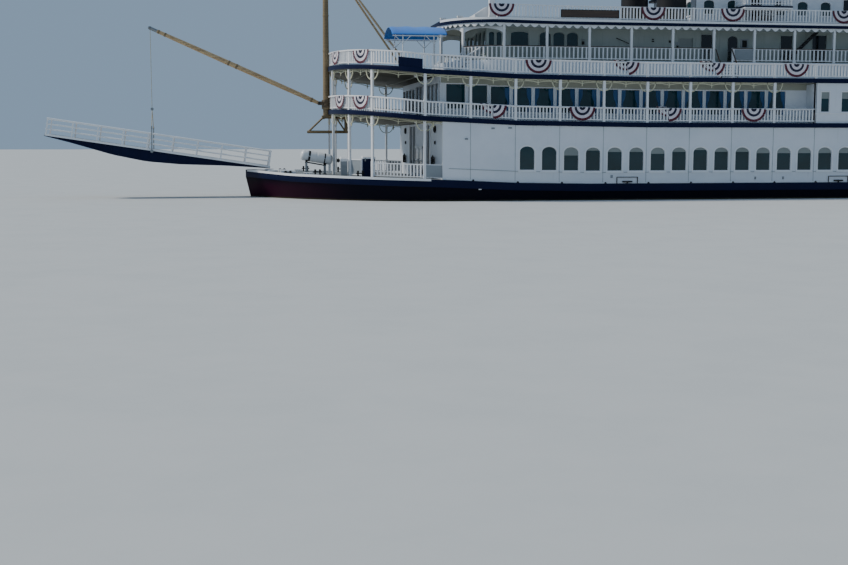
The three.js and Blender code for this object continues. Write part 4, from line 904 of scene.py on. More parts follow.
TEXAS, TEXAS_SIDE, TEXAS_TOP = (-1400, 950), 437, 1690
texas_low, texas_high = DECK4[1] + 0.5, TEXAS_TOP - 0.5
panes = [window(860 - 180 * i, 1520, 80, 100, 22, 5) for i in range(13) if i % 4 != 2]
panes += [window(860 - 180 * i, 1450, 84, 190, frame=6, **CABIN_DOOR) for i in (2, 6, 10)]
job = Joinery()
for _, sign in SIDES:
    spot = facing_side(TEXAS_SIDE, sign)
    wall(job, spot, TEXAS[0] - 7, TEXAS[1] + 7, flat(texas_low), flat(texas_high),
         [770 - 180 * i for i in range(12)], (), panes)
    ledge(job, spot, *TEXAS, flat(TEXAS_TOP - 22), height=8, proud=5)
panes = [window(y, 1520, 90, 100, 22, 5) for y in (-300, -150, 150, 300)]
panes.append(window(0, 1450, 84, 190, frame=6, **CABIN_DOOR))
for plane, way in ((TEXAS[1] + 7, 1), (TEXAS[0] - 7, -1)):
    end_wall(job, plane, way, TEXAS_SIDE - 7, texas_low, texas_high, panes)
job.fit("texas_house_walls", "root", HOUSE_FINISHES, "white_paint", replaces=["texas_house"])

job = Joinery()
job.box(TEXAS[0] - 40, TEXAS[1] + 40, -470, 470, TEXAS_TOP, TEXAS_TOP + 20)
job.box(TEXAS[0] - 30, TEXAS[1] + 30, -460, 460, TEXAS_TOP + 19, TEXAS_TOP + 26, finish=1)
job.fit("texas_roof_slab", "root", [NAVY, WALKWAY], "navy_paint", replaces=["texas_roof"], bevel=2)

PILOT, PILOT_SIDE, PILOT_BEVEL, PILOT_MIDDLE = (223, 697), 267, 93, 460
PILOT_FLOOR, PILOT_TOP = TEXAS_TOP + 26, TEXAS_TOP + 310
plan = [(PILOT[0], PILOT_SIDE), (PILOT[1] - PILOT_BEVEL, PILOT_SIDE), (PILOT[1], PILOT_SIDE - PILOT_BEVEL)]
plan += [(x, -y) for x, y in plan[::-1]]


def facing_edge(a, b):
    """Wall coordinates along the edge from a to b of the pilothouse, and the edge's length."""
    along = (b - a).normalized()
    inward = Vector((along.y, -along.x))
    if inward.dot((a + b) / 2 - Vector((PILOT_MIDDLE, 0))) > 0:
        inward = -inward
    return lambda u, v, depth: (*(a + along * u + inward * depth), v), (b - a).length


job = Joinery()
for a, b in zip(plan, plan[1:] + plan[:1]):
    spot, length = facing_edge(Vector(a), Vector(b))
    count = max(1, round(length / 112))
    pitch = length / count
    wall(job, spot, 0, length, flat(PILOT_FLOOR + 0.5), flat(PILOT_TOP - 0.5), windows=[
        window(pitch * (i + 0.5), PILOT_FLOOR + 95, min(pitch - 16, 100), 145, 0, 4, sill=False)
        for i in range(count)])
    ledge(job, spot, 2, length - 2, flat(PILOT_FLOOR + 60), height=5, proud=3)
job.fit("pilothouse_walls", "root", HOUSE_FINISHES, "white_paint", replaces=["pilothouse"])

# %% [markdown]
# Blue drapes hang at the posts between the salon's windows. Each one is cut as a strip of cloth, then
# gathered into pleats and tied in at the waist, so the mesh is a wave whose depth and width shrink towards
# the tie.

# %% Salon drapes
def cloth_material(name, base, shifted, thread=900.0, sheen=0.4):
    """Woven cloth: a fine over-and-under weave in the bump, and a soft change of colour in the folds."""
    material = coat(name, base, shifted, GRIME, 0.85, streaks=0.0, mottle=0.6)
    nodes, links = material.node_tree.nodes, material.node_tree.links
    shader = nodes["Principled BSDF"]
    weave = place_group(nodes, WEAVE, 1.0)
    dial(shader, Sheen_Weight=sheen)
    dial(weave, Threads=thread)
    add_relief(nodes, links, shader, weave.outputs["Height"], 0.35, 0.0008)
    return material


def make_weave():
    group, given, put = new_group("plain_weave", [("Amount", 1.0), ("Threads", 900.0)], ["Height"])
    nodes, links = group.nodes, group.links
    waves = []
    for axis in ("X", "Z"):
        turned = math_node(nodes, links, "MULTIPLY", axis_value(nodes, links, axis), given.outputs["Threads"])
        waves.append(math_node(nodes, links, "SINE", turned, 0.0))
    both = math_node(nodes, links, "MULTIPLY", *waves)
    links.new(math_node(nodes, links, "MULTIPLY", both, given.outputs["Amount"]), put.inputs["Height"])
    return group


WEAVE = make_weave()
DRAPE_CLOTH = cloth_material("blue_drape_cloth", rgb(46, 92, 138), rgb(34, 72, 114))
DRAPE_CUT, DRAPE_AREA, DRAPE_HEIGHT = (0.15, 0.166), 0.0145, 160


def sheet_piece(name, body, grid, materials, marks=None, thick=0.0, replaces=()):
    """A cloth from rows of points; thick above zero gives it a back face."""
    columns = len(grid[0])
    cells = [(r, c) for r in range(len(grid) - 1) for c in range(columns - 1)]
    faces = [(r * columns + c, r * columns + c + 1, (r + 1) * columns + c + 1, (r + 1) * columns + c)
             for r, c in cells]
    piece, mesh = new_piece(name, [point for row in grid for point in row], faces, materials,
                            [marks[r][c] for r, c in cells] if marks else None)
    mesh.shade_smooth()
    if thick:
        cloth = piece.modifiers.new("cloth_thickness", "SOLIDIFY")
        cloth.thickness, cloth.offset = thick * MM, 0
    seat(piece, body, replaces)


def drape(x, sign, base):
    """One gathered drape in front of the pane, behind the surround of its post."""
    rows, columns, grid = 9, 17, []
    for t in (r / (rows - 1) for r in range(rows)):
        waist = 1 - 0.45 * math.exp(-((t - 0.62) / 0.22) ** 2)
        grid.append([(x + u * 44 * waist, sign * (salon_face - 2.2 + math.cos(u * math.pi * 5) * 1.8),
                      base + DRAPE_HEIGHT * (1 - t)) for u in (c / (columns - 1) * 2 - 1 for c in range(columns))])
    return grid


drape_places = [(i, x) for i, x in enumerate(half_bays[3:], 1) if x - 20 >= FLUSH_X + 40]
for side, sign in SIDES:
    for i, x in drape_places:
        sheet_piece(f"salon_drape_{side}_{i:02d}", "root", drape(x, sign, 794 + deck_rise(x)), [DRAPE_CLOTH])
print("drapes:", 2 * len(drape_places))

# %% [markdown]
# Columns, rails and balusters are what make the decks read as galleries. A joiner makes one bay and repeats
# it, and so do we: a row of balusters between two rails, a column at each bay, a curved bracket on each side
# of a column, and a header under the deck cut to flat arches. All of it follows the deck's edge.

# %% Gallery joinery
COLUMN, RAIL, TOP_RAIL, LOW_RAIL, HEADER = 18, 10, (93, 100), (12, 18), (-24, -2)
NOSE_POSTS, SALON_BAYS, DECK3_BAYS, BALUSTER_STEP = (80, 57, 37), 8, 22, BAY / 13
ROW_ANGLES = (88, 80, 70, 57, 47, 37, 18)
HEADER_DROP = [(0.1, -40), (2.6, -39), (4.5, -34), (2.6, -30), (4, -27), (4, -4)]


def lifted(line, by):
    return lambda x: line(x) + by


def row_path(aft, out=0.0, nose_out=None, fine=False):
    """The line of columns from the stem round to the side and aft; fine follows the true curve."""
    angles = range(88, 2, -3) if fine else ROW_ANGLES
    forward = [nose_point(angle, out if nose_out is None else nose_out) for angle in angles]
    return forward + [(x, SIDE_LINE + out, 0) for x in (COL0 + COLUMN, COL0, 2400, 1500, aft)]


def row_posts(bays):
    return [nose_point(angle) for angle in NOSE_POSTS] + [(side_x(i), SIDE_LINE, 0) for i in range(bays + 1)]


def rail_along(job, path, floor, rise, heights, thickness=RAIL, finish=0):
    job.ribbon(path, thickness, level(floor + heights[0], rise), level(floor + heights[1], rise), finish=finish)


def bracket(job, x, y, heading, way, top, reach=52, drop=66, rib=6.0):
    """A thin rib that leaves the column level and sweeps up to the deck, so a pair looks like a tulip."""
    c, t = math.cos(heading), math.sin(heading)
    rows = []
    for a in (math.pi / 2 * i / 9 for i in range(10)):
        ring = []
        for r, v in ((0, -3), (-rib, -3), (-rib, 3), (0, 3)):
            u = way * (COLUMN / 2 - 2 + (reach + r) * math.cos(a))
            ring.append((x + u * c - v * t, y + u * t + v * c, top - (drop + r) * math.sin(a)))
        rows.append(ring)
    # The bracket takes the third finish: cream, a painted shade on white trim.
    job.loft(rows, finish=2)


def turned_column(job, x, y, heading, floor, deck):
    """A square column with a base block, a slim shaft, a cap of three steps and its pair of brackets."""
    low, high = lifted(floor, 0.3), lifted(deck, -0.3)
    for size, start, end in ((COLUMN, low, lifted(low, 108)), (COLUMN - 3, lifted(low, 107), lifted(high, -62)),
                             (COLUMN, lifted(high, -63), lifted(high, -55)),
                             (COLUMN + 4, lifted(high, -56), lifted(high, -51)),
                             (COLUMN, lifted(high, -52), lifted(high, -0.1))):
        job.post(x, y, size, start, end, heading)
    for way in (-1, 1):
        bracket(job, x, y, heading, way, deck(x) - 2)


def even_steps(path, step, start=0.0):
    """Places and headings at even steps along a line, for patterns that repeat."""
    places, walked, due = [], 0.0, start
    for (x0, y0, *_), (x1, y1, *_) in zip(path, path[1:]):
        span = math.hypot(x1 - x0, y1 - y0)
        while due <= walked + span:
            t = (due - walked) / span
            places.append((x0 + (x1 - x0) * t, y0 + (y1 - y0) * t, math.atan2(y1 - y0, x1 - x0)))
            due += step
        walked += span
    return places


def balusters(job, path, floor, rise, step=BALUSTER_STEP, start=BALUSTER_STEP / 2, size=8.4):
    for x, y, heading in even_steps(path, step, start):
        job.post(x, y, size, level(floor + 10, rise), level(floor + 95, rise), heading, caps=False)


def balustrade(job, path, floor, rise):
    for heights in (TOP_RAIL, LOW_RAIL):
        rail_along(job, path, floor, rise, heights)
    balusters(job, path, floor, rise)


def board_between(job, start, end, count, edges, finish=0, thickness=6):
    """A thin upright board; edges gives its low and its high edge at a share of the way and an X."""
    (x0, y0, *_), (x1, y1, *_) = start, end
    span = math.hypot(x1 - x0, y1 - y0)
    dx, dy = -(y1 - y0) / span * thickness / 2, (x1 - x0) / span * thickness / 2
    job.loft([upright(x0 + (x1 - x0) * s, y0 + (y1 - y0) * s, dx, dy, *edges(s, x0 + (x1 - x0) * s))
              for s in (i / count for i in range(count + 1))], finish=finish)


def arched_header(job, points, base, rise):
    """Two flat arches of thin board to each bay, with a turned drop where they meet."""
    deck = level(base, rise)

    def arches(s, x):
        arch = -21 + 12 * abs(math.sin(math.tau * s)) ** 0.6
        return deck(x) + arch - 5, deck(x) + arch

    for start, end in zip(points, points[1:]):
        # The boards and drop take the third finish: cream, a painted shade on white trim.
        board_between(job, start, end, 32, lambda s, x: (deck(x) - 7, deck(x) - 1.5), finish=2)
        board_between(job, start, end, 32, arches, finish=2)
        x, y = (start[0] + end[0]) / 2, (start[1] + end[1]) / 2
        job.turned(HEADER_DROP, (x, y, deck(x)), sides=10, finish=2)


# Brackets, arched headers and drops are white trim, painted cream here: painted shade, the warm bounce light under
# the decks.
SHADED_TRIM = coat("cream_trim_painted_shade", rgb(206, 204, 176), rgb(188, 186, 160), GRIME, 0.5, streaks=0.3,
                  shine=0.3)
RAIL_FINISHES = [TRIM, WHITE, SHADED_TRIM]
for side, sign in SIDES:
    job = Joinery()
    columns = on_side(row_posts(SALON_BAYS), sign)
    for x, y, heading in columns:
        turned_column(job, x, y, heading, level(DECK2[1], deck_rise), level(DECK3[0], deck_rise))
    balustrade(job, on_side(row_path(FLUSH_X + PLATE_HALF + 0.3, fine=True), sign), DECK2[1], deck_rise)
    arched_header(job, columns, DECK3[0], deck_rise)
    job.fit(f"deck2_joinery_{side}", "root", RAIL_FINISHES, "white_paint", replaces=[f"deck2_columns_{side}"])

    job = Joinery()
    for x, y, heading in on_side(row_posts(DECK3_BAYS), sign):
        job.post(x, y, 13, level(DECK3[1] + 0.3, deck_rise), level(DECK3[1] + 101, deck_rise), heading)
    balustrade(job, on_side(row_path(side_x(DECK3_BAYS), fine=True), sign), DECK3[1], deck_rise)
    job.fit(f"deck3_balustrade_{side}", "root", RAIL_FINISHES, "white_paint", replaces=[f"deck3_rail_{side}"])

# %% [markdown]
# Below them the porch stands on the foredeck under the rounded end of deck two. Its columns carry the same
# brackets, and a rail closes the walk back to the wall.

# %% Porch and steps
PORCH_CORNER = (COL0, SIDE_LINE - 20, 0)
for side, sign in SIDES:
    job = Joinery()
    front = on_side([nose_point(angle) for angle in NOSE_POSTS] + [PORCH_CORNER], sign)
    for x, y, heading in front:
        turned_column(job, x, y, heading, main_top, level(DECK2[0], deck_rise))
    to_wall = (MAIN_FRONT + PLATE_HALF + 0.3, sign * PORCH_CORNER[1], 0)
    arched_header(job, front + [to_wall], DECK2[0], deck_rise)
    balustrade(job, [front[2], front[3], to_wall], MAIN_DECK, hull_rise)
    job.fit(f"porch_joinery_{side}", "root", RAIL_FINISHES, "white_paint", replaces=[f"porch_columns_{side}"])

# %% [markdown]
# Deck three carries a raised gallery, six steps up, so the suites get a view over the rail. It has its own
# columns and dark capped rail. The roof over it is deck four, with a navy edge and a sawn scalloped board
# that hangs below: five scallops to a bay.

# %% Gallery
GALLERY_HALF, GALLERY_COL, GALLERY_NOSE, GALLERY_AFT, GALLERY_LINE = 610, 2410, 380, -3900, 600
ROOF_LIP, GALLERY_POST, SIDE_STEPS, FRONT_STEPS = 15, 16, (750, 872), (2570, 2728, 430, 540)
RISER = (GALLERY - DECK3[1]) / 6


def gallery_nose(angle, inset=12.0):
    c, t = math.cos(math.radians(angle)), math.sin(math.radians(angle))
    reach, half = GALLERY_NOSE - inset, GALLERY_HALF - min(inset, 10)
    return (GALLERY_COL + reach * t, half * c, -math.atan2(half * t, reach * c))


def gallery_half(x, extra=0.0):
    half, nose = GALLERY_HALF + extra, GALLERY_NOSE + extra
    return half if x <= GALLERY_COL else half * math.sqrt(max(1 - ((x - GALLERY_COL) / nose) ** 2, 0))


gallery_stations = [GALLERY_AFT, -2000, 0, 1500, 2000, 2400] + [
    GALLERY_COL + GALLERY_NOSE * math.sin(math.radians(a)) for a in range(4, 88, 4)]
job = Joinery()
deck_slab(job, gallery_stations, gallery_half, level(DECK3[1] + 0.3, deck_rise), flat(GALLERY),
          finishes=(1, 2, 1))
step_deck = DECK3[1] + deck_rise(FRONT_STEPS[1])
for i in range(4):
    reach, foot = FRONT_STEPS[1] - i * 24, step_deck + 0.3 + i * 20
    for sign in (1, -1):
        job.side_box(sign, FRONT_STEPS[0], reach, *FRONT_STEPS[2:], foot, foot + 20, finish=1)
        job.side_box(sign, reach - 24, reach + 2, *FRONT_STEPS[2:], foot + 17, foot + 20.5, finish=2)
for i in range(5):
    out, low, high = GALLERY_HALF + (5 - i) * 22, DECK3[1] + i * RISER, DECK3[1] + (i + 1) * RISER
    for sign in (1, -1):
        job.side_box(sign, *SIDE_STEPS, GALLERY_HALF - 5, out, low + 2, high + 2, finish=1)
        job.side_box(sign, SIDE_STEPS[0] - 1, SIDE_STEPS[1] + 1, out - 22, out + 2, high - 1, high + 2.4, finish=2)
for sign in (1, -1):
    y0, y1, z0, z1 = sign * (GALLERY_HALF + 108), sign * (GALLERY_HALF - 2), DECK3[1] + 2, GALLERY + 2
    for x in SIDE_STEPS:
        job.bar((x, y0, z0), (x, y0, z0 + 88), 4, finish=3)
        job.bar((x, y0, z0 + 86), (x, y1, z1 + 88), 4.5, finish=3)
        job.loft([[(x + dx, y0, z0), (x + dx, y0, z0 + 20), (x + dx, y1, z1 + 4), (x + dx, y1, z1 - 24)]
                  for dx in (-2, 2)], finish=1)
    for y in FRONT_STEPS[2:]:
        top_x, foot_x = gallery_nose(90)[0] - 130 - (y - FRONT_STEPS[2]) * 0.8, FRONT_STEPS[1] - 6
        job.bar((top_x, sign * y, GALLERY + 88), (foot_x + 2, sign * y, step_deck + 92), 4.5)
        job.bar((foot_x, sign * y, step_deck), (foot_x, sign * y, step_deck + 93), 4)
job.fit("gallery_floor_boards", "root", [TRIM, WHITE, WALKWAY, DARK_WOOD], "white_paint",
        replaces=["gallery_floor"], smooth=40)

roof_under = level(DECK4[0], roof_rise)
GALLERY_POST_PARTS = [(GALLERY_POST, flat(GALLERY + 0.3), lifted(roof_under, -40)),
                      (GALLERY_POST + 4, flat(GALLERY + 0.3), flat(GALLERY + 14)),
                      (GALLERY_POST + 3, lifted(roof_under, -44), lifted(roof_under, -36)),
                      (GALLERY_POST, lifted(roof_under, -37), lifted(roof_under, -0.4))]
GALLERY_RAILS = [((94, 100), 12, 1), ((90, 94), 8, 0), (LOW_RAIL, 8, 0)]
NOSE_START = (GALLERY_COL, GALLERY_LINE, 0), (2000, GALLERY_LINE, 0)


def gallery_arch(s, x):
    """Low and high edge of the flat arch under the header, between two posts of the rounded end."""
    return roof_under(x) - 84 + 52 * math.sqrt(max(1 - ((s * 2 - 1) * 0.985) ** 2, 0)), roof_under(x) - 1


for side, sign in SIDES:
    job = Joinery()
    posts = [gallery_nose(75.5), gallery_nose(43.5)] + [(side_x(i + 2), GALLERY_LINE, 0) for i in range(21)]
    points = on_side(posts, sign)
    for x, y, heading in points:
        for size, low, high in GALLERY_POST_PARTS:
            job.post(x, y, size, low, high, heading)
    for a, b in zip(points[:3], points[1:3]):
        board_between(job, a, b, 18, gallery_arch)
    aft = (points[-1][0], GALLERY_LINE, 0)
    job.post(SIDE_STEPS[0] - 8, sign * GALLERY_LINE, 11, flat(GALLERY + 0.3), flat(GALLERY + 101))
    start = [gallery_nose(a) for a in range(43, 4, -5)]
    for stretch in ([*start, *NOSE_START, (SIDE_STEPS[1] + 5, GALLERY_LINE, 0)],
                    [(SIDE_STEPS[0] - 3, GALLERY_LINE, 0), aft]):
        line = on_side(stretch, sign)
        for heights, thickness, finish in GALLERY_RAILS:
            rail_along(job, line, GALLERY, flat(0), heights, thickness, finish)
        balusters(job, line, GALLERY, flat(0), BAY / 10, BAY / 20, size=9)
    # The header behind the scallops is painted grey-green, darker than the white trim: painted shade under the
    # roof, so the scallops show.
    header = on_side([gallery_nose(a) for a in range(86, 4, -5)] + [*NOSE_START, aft], sign)
    rail_along(job, header, DECK4[0], roof_rise, HEADER, finish=2)
    job.fit(f"gallery_joinery_{side}", "root", [TRIM, DARK_WOOD, BLIND_REFLECTION_SHADE], "white_paint",
            replaces=[f"gallery_posts_{side}", f"gallery_nose_{side}"])

# %% [markdown]
# The roof of the gallery is deck four: a slab with a grey walking surface, a navy edge and a pale kerb line
# along its top. On its rounded end stand small ventilator boxes, a sloping hood over the stairs, and a stout
# white post with a turned cap.

# %% Deck four
ROOF_SEAM, ROOF_FINISHES = 2400, [NAVY, WALKWAY, CREAM, TRIM]
CAP_POST, POST_TOP, SCALLOP_STEPS = (2480, 520), 1880, 8
roof_top = level(DECK4[1], roof_rise)
roof_half = lambda x: gallery_half(x, ROOF_LIP)


def kerb(job, path):
    """The pale line along the upper edge of the roof, the same on both sides."""
    for line in (path, mirrored(path)):
        job.ribbon(line, 4, lifted(roof_top, -10), lifted(roof_top, 5), finish=3)


job = Joinery()
deck_slab(job, [GALLERY_AFT - ROOF_LIP, -2000, 0, 2000, ROOF_SEAM], roof_half, roof_under, roof_top)
kerb(job, [(x, GALLERY_HALF + ROOF_LIP + 0.4) for x in (GALLERY_AFT - ROOF_LIP + 4, 2000, ROOF_SEAM)])
for x in (side_x(bay) for bay in range(3, 23)):
    job.box(x - 5, x + 5, -585, 585, roof_under(x) - 8, roof_under(x) + 1, finish=2)
job.fit("deck4_slab", "root", ROOF_FINISHES, "navy_paint", replaces=["deck4"], smooth=40)

job = Joinery()
nose_xs = [ROOF_SEAM + 0.3, GALLERY_COL] + gallery_stations[6:]
deck_slab(job, nose_xs, roof_half, roof_under, roof_top)
kerb(job, [(x, roof_half(x) + 0.4) for x in nose_xs[:-1]])
hood = [(x, roof_top(x), h) for x, h in ((2472, 96), (2484, 98), (2578, 36), (2590, 30))]
job.beam([(x, 300, 480, top - 4, top + h) for x, top, h in hood], finish=3)
for y in (298, 478):
    job.beam([(x, y, y + 4, top + h - 3, top + h + 3) for x, top, h in hood], finish=3)
for x, y in ((2727, 0), (2640, 200), (2640, -200)):
    top = roof_top(x)
    job.post(x, y, 34, lifted(roof_top, -6), flat(top + 40), finish=3)
    job.post(x, y, 40, flat(top + 39), flat(top + 46), finish=3)
    for k in range(4):
        job.post(x, y, 35.5, flat(top + 8 + 7 * k), flat(top + 11 + 7 * k), finish=1)
foot = roof_top(CAP_POST[0])
job.post(*CAP_POST, 38, flat(foot - 4), flat(POST_TOP - 18), finish=3)
job.post(*CAP_POST, 44, flat(foot - 2), flat(foot + 26), finish=3)
job.turned([(r, POST_TOP - drop) for r, drop in ((19, 19), (23, 16), (23, 12), (14, 6), (4, 1), (0.1, 0))],
           (*CAP_POST, 0), sides=20, finish=3)
job.fit("deck4_nose_fittings", "root", ROOF_FINISHES, "navy_paint", replaces=["deck4_nose"], smooth=40)

job = Joinery()
valance_aft, valance_half = GALLERY_AFT - 4, GALLERY_HALF + 4
valance = [(GALLERY_COL + (GALLERY_NOSE + 4) * math.sin(math.radians(a)),
            valance_half * math.cos(math.radians(a))) for a in range(90, -1, -3)]
valance += [(2000, valance_half), (valance_aft, valance_half)]
for sign in (1, -1):
    path = [(x, sign * y) for x, y, _ in even_steps(valance, BAY / 5 / SCALLOP_STEPS)]
    sections = []
    for i, (x, y) in enumerate(path):
        before, after = path[max(i - 1, 0)], path[min(i + 1, len(path) - 1)]
        along = Vector((after[0] - before[0], after[1] - before[1])).normalized()
        u = (i % SCALLOP_STEPS) / SCALLOP_STEPS * 2 - 1
        dip = 20 * max(math.cos(math.pi / 2 * u), 0) ** 1.3
        sections.append(upright(x, y, -along.y * 2, along.x * 2, roof_under(x) - 5 - dip, roof_under(x) - 0.4))
    job.loft(sections)
job.ribbon([(valance_aft, -valance_half), (valance_aft, valance_half)], 4, flat(DECK4[0] - 20),
           flat(DECK4[0] - 0.4))
job.fit("scalloped_valance", "root", [TRIM], "white_paint", replaces=["roof_valance"])

# %% [markdown]
# Deck four's rail has close balusters between low and top rails. The two dark name boards on it are bare.

# %% Deck four rail and name boards
RAIL4_FRONT, RAIL4_AFT, NAME_BOARD = 2450, -3880, (1590, 2010, 1462, 1516)
job = Joinery()
ring = [(x, GALLERY_LINE) for x in (RAIL4_AFT, 2000, RAIL4_FRONT)]
ring += [(x, -y) for x, y in reversed(ring)]
for low, high in (TOP_RAIL, LOW_RAIL):
    job.ribbon(ring, RAIL, level(DECK4[1] + low, roof_rise), level(DECK4[1] + high, roof_rise), ring=True)
balusters(job, ring + ring[:1], DECK4[1], roof_rise, size=8)
feet = [(x, sign * GALLERY_LINE) for x in [RAIL4_FRONT] + [side_x(i + 0.5) for i in range(2, 23)] + [RAIL4_AFT]
        for sign in (1, -1)]
feet += [(x, y) for x in (RAIL4_FRONT, RAIL4_AFT) for y in (-360, -120, 120, 360)]
for x, y in feet:
    job.post(x, y, 12, lifted(roof_top, 0.3), lifted(roof_top, 101))
job.fit("deck4_balustrade", "root", [TRIM], "white_paint", replaces=["deck4_rail"])
x0, x1, z0, z1 = NAME_BOARD
for side, sign in SIDES:
    job = Joinery()
    job.side_box(sign, x0, x1, 605.4, 611, z0, z1)
    for xs, zs in (((x0, x1), (z0, z0 + 4)), ((x0, x1), (z1 - 4, z1)), ((x0, x0 + 4), (z0, z1)),
                   ((x1 - 4, x1), (z0, z1))):
        job.side_box(sign, *xs, 606, 612.8, *zs, finish=1)
    job.fit(f"name_board_panel_{side}", "root", [DARK_WOOD, BLACK], "brown_paint", replaces=[f"name_board_{side}"],
            bevel=0.8)

# %% [markdown]
# The bridge wings are small platforms on brackets beside the texas house. The pilothouse wears a round
# hipped roof with a finial, turned like a bowl on its side but stretched a little across the boat.

# %% Bridge wings and pilothouse roof
WING, WING_OUT, WING_Z, ROOF_REACH = (309, 671), 632, (1544, 1566), (290, 330)
wing_in = TEXAS_SIDE + 0.3
for side, sign in SIDES:
    job = Joinery()
    job.side_box(sign, *WING, wing_in, WING_OUT, WING_Z[0], WING_Z[0] + 10)
    job.side_box(sign, *WING, wing_in, WING_OUT, WING_Z[0] + 9, WING_Z[1] - 2, finish=1)
    job.side_box(sign, WING[0] + 3, WING[1] - 3, wing_in + 3, WING_OUT - 3, WING_Z[1] - 3, WING_Z[1], finish=2)
    for x in (WING[0] + 8, WING[1] - 8):
        job.post(x, sign * 575, 12, flat(DECK4[1] + 0.3), flat(WING_Z[0] + 2))
        job.bar((x, sign * 575, DECK4[1] + 66), (x, sign * 617, WING_Z[0] + 2), 4)
    inner, outer = sign * (TEXAS_SIDE + 4), sign * (WING_OUT - 4)
    edge = [(WING[0] + 4, inner), (WING[0] + 4, outer), (WING[1] - 4, outer), (WING[1] - 4, inner)]
    job.ribbon(edge, 6, flat(WING_Z[1] + 92), flat(WING_Z[1] + 98))
    job.ribbon(edge, 4, flat(WING_Z[1] + 12), flat(WING_Z[1] + 16))
    balusters(job, edge, WING_Z[1] - 5, flat(0), start=10, size=6)
    job.fit(f"bridge_wing_deck_{side}", "root", [TRIM, NAVY, WALKWAY], "white_paint",
            replaces=[f"bridge_wing_{side}"])

# Height over the eaves, share of the eaves' reach
ROOF_RINGS = [(0, 0.985), (2, 1), (12, 1), (15, 0.985), (30, 0.94), (50, 0.86), (68, 0.74), (86, 0.55),
              (97, 0.36), (104, 0.2), (110, 0.1), (116, 0.055), (122, 0.06), (130, 0.045), (140, 0.02), (150, 0.03),
              (160, 0.028), (172, 0.012), (190, 0.004)]


def roof_point(turn, share, z):
    return PILOT_MIDDLE + ROOF_REACH[0] * share * turn[0], ROOF_REACH[1] * share * turn[1], PILOT_TOP + z


job = Joinery()
job.loft([[roof_point(turn, share, z) for turn in around(48, 0.5)] for z, share in ROOF_RINGS])
for c, t in around(16, 0.5):
    rows = []
    for z, share in ROOF_RINGS[3:11]:
        x, y, top = roof_point((c, t), share, z)
        rows.append(upright(x, y, -t * 2, c * 2, top - 2, top + 2.5))
    job.loft(rows)
scallops = []
for i, turn in enumerate(around(64 * 6)):
    u = (i % 6) / 6 * 2 - 1
    low = -6 - 8 * math.sqrt(max(1 - u * u, 0))
    scallops.append([roof_point(turn, share, z)
                     for share, z in ((0.955, low), (0.97, low), (0.97, 1), (0.955, 1))])
job.loft(scallops, ring=True, finish=1)
job.fit("pilothouse_roof_shell", "root", [NAVY, TRIM], "navy_paint", replaces=["pilothouse_roof"], smooth=32)

# %% [markdown]
# A stack is a rolled steel tube with riveted bands, and its crown flares into a ring of cut leaves. The crown
# is the showpiece of such a boat, so each leaf is modelled: a pointed plate that curls outward.

# %% Stacks
STACK_X, STACK_Y, STACK_R, LEAVES = 1130, 400, 105, 20
STACK_BASE = DECK4[1] + 0.3
STACK_SKIN = [(0.1, 0), (123, 0), (123, 28), (119, 32), (108, 44), (STACK_R, 47), (STACK_R, 300), (108, 302),
              (108, 312), (STACK_R, 314), (STACK_R, 620), (108, 622), (108, 632), (STACK_R, 634),
              (STACK_R, 940), (112, 948), (119, 958), (119, 970), (112, 980), (STACK_R, 986), (107, 1005),
              (113, 1030), (121, 1052), (127, 1066), (119, 1066), (112, 1050), (104, 1028), (97, 1002), (97, 985),
              (0.1, 980)]


def crown_leaf(job, centre, middle, low, high, swell):
    """A pointed leaf of plate that leans outward, in eight rows from foot to tip."""
    sections = []
    for j in range(8):
        t = j / 7
        taper = 0.98 if t < 0.45 else max(0.98 * (1 - ((t - 0.45) / 0.55) ** 1.7), 0.03)
        width = math.tau / LEAVES / 2 * taper
        r = 119 + 38 * swell * t ** 1.6
        z = low + (high - low) * (t if t < 0.9 else 0.9 + (t - 0.9) * 0.6)
        sections.append([(centre[0] + q * math.cos(middle + a), centre[1] + q * math.sin(middle + a), centre[2] + z)
                         for q, a in ((r, -width), (r, width), (r + 2.4, width), (r + 2.4, -width))])
    job.loft(sections)


for side, sign in SIDES:
    job = Joinery()
    centre = (STACK_X, sign * STACK_Y, STACK_BASE)
    job.turned(STACK_SKIN, centre, sides=48)
    for k in range(LEAVES):
        for row, shape in enumerate(((1040, 1117, 1.0), (1030, 1092, 0.6))):
            crown_leaf(job, centre, math.tau * (k + 0.5 * row) / LEAVES, *shape)
    for z in (307, 627):
        for c, t in around(36):
            job.turned([(0.1, -1), (2.6, -1), (2.2, 1.2), (0.1, 2)],
                       (centre[0] + 108 * c, centre[1] + 108 * t, STACK_BASE + z), sides=6)
    job.fit(f"stack_tube_{side}", "root", [BLACK], "black_paint", replaces=[f"stack_{side}"], smooth=35)

job = Joinery()
SPREADER_Z, SPREADER_DEPTH, SPREADER_END = DECK4[1] + 760, 120, STACK_Y - STACK_R - 0.3
SPREADER_FLANGE = [(0.1, 0), (15, 0), (15, 4), (9, 6), (9, 14), (0.1, 15)]
for lift in (0, SPREADER_DEPTH):
    job.bar((STACK_X, -SPREADER_END, SPREADER_Z + lift), (STACK_X, SPREADER_END, SPREADER_Z + lift), 7, 12)
for sign in (-1, 1):
    reach = sign * SPREADER_END * 0.9
    job.bar((STACK_X, reach, SPREADER_Z), (STACK_X, -reach, SPREADER_Z + SPREADER_DEPTH), 4, 10)
    for lift in (0, SPREADER_DEPTH):
        job.turned([(r, -sign * h) for r, h in SPREADER_FLANGE],
                   (STACK_X, sign * SPREADER_END, SPREADER_Z + lift), sides=16, axis="Y")
for sign in (-1, 1):
    ring = [(STACK_X, sign * 90 + 48 * c, SPREADER_Z + SPREADER_DEPTH / 2 + 48 * t) for c, t in around(24)]
    for a, b in zip(ring, ring[1:] + ring[:1]):
        job.bar(a, b, 3, 6)
job.fit("stack_spreader_frame", "root", [BLACK], "black_paint", replaces=["stack_spreader"], smooth=40)

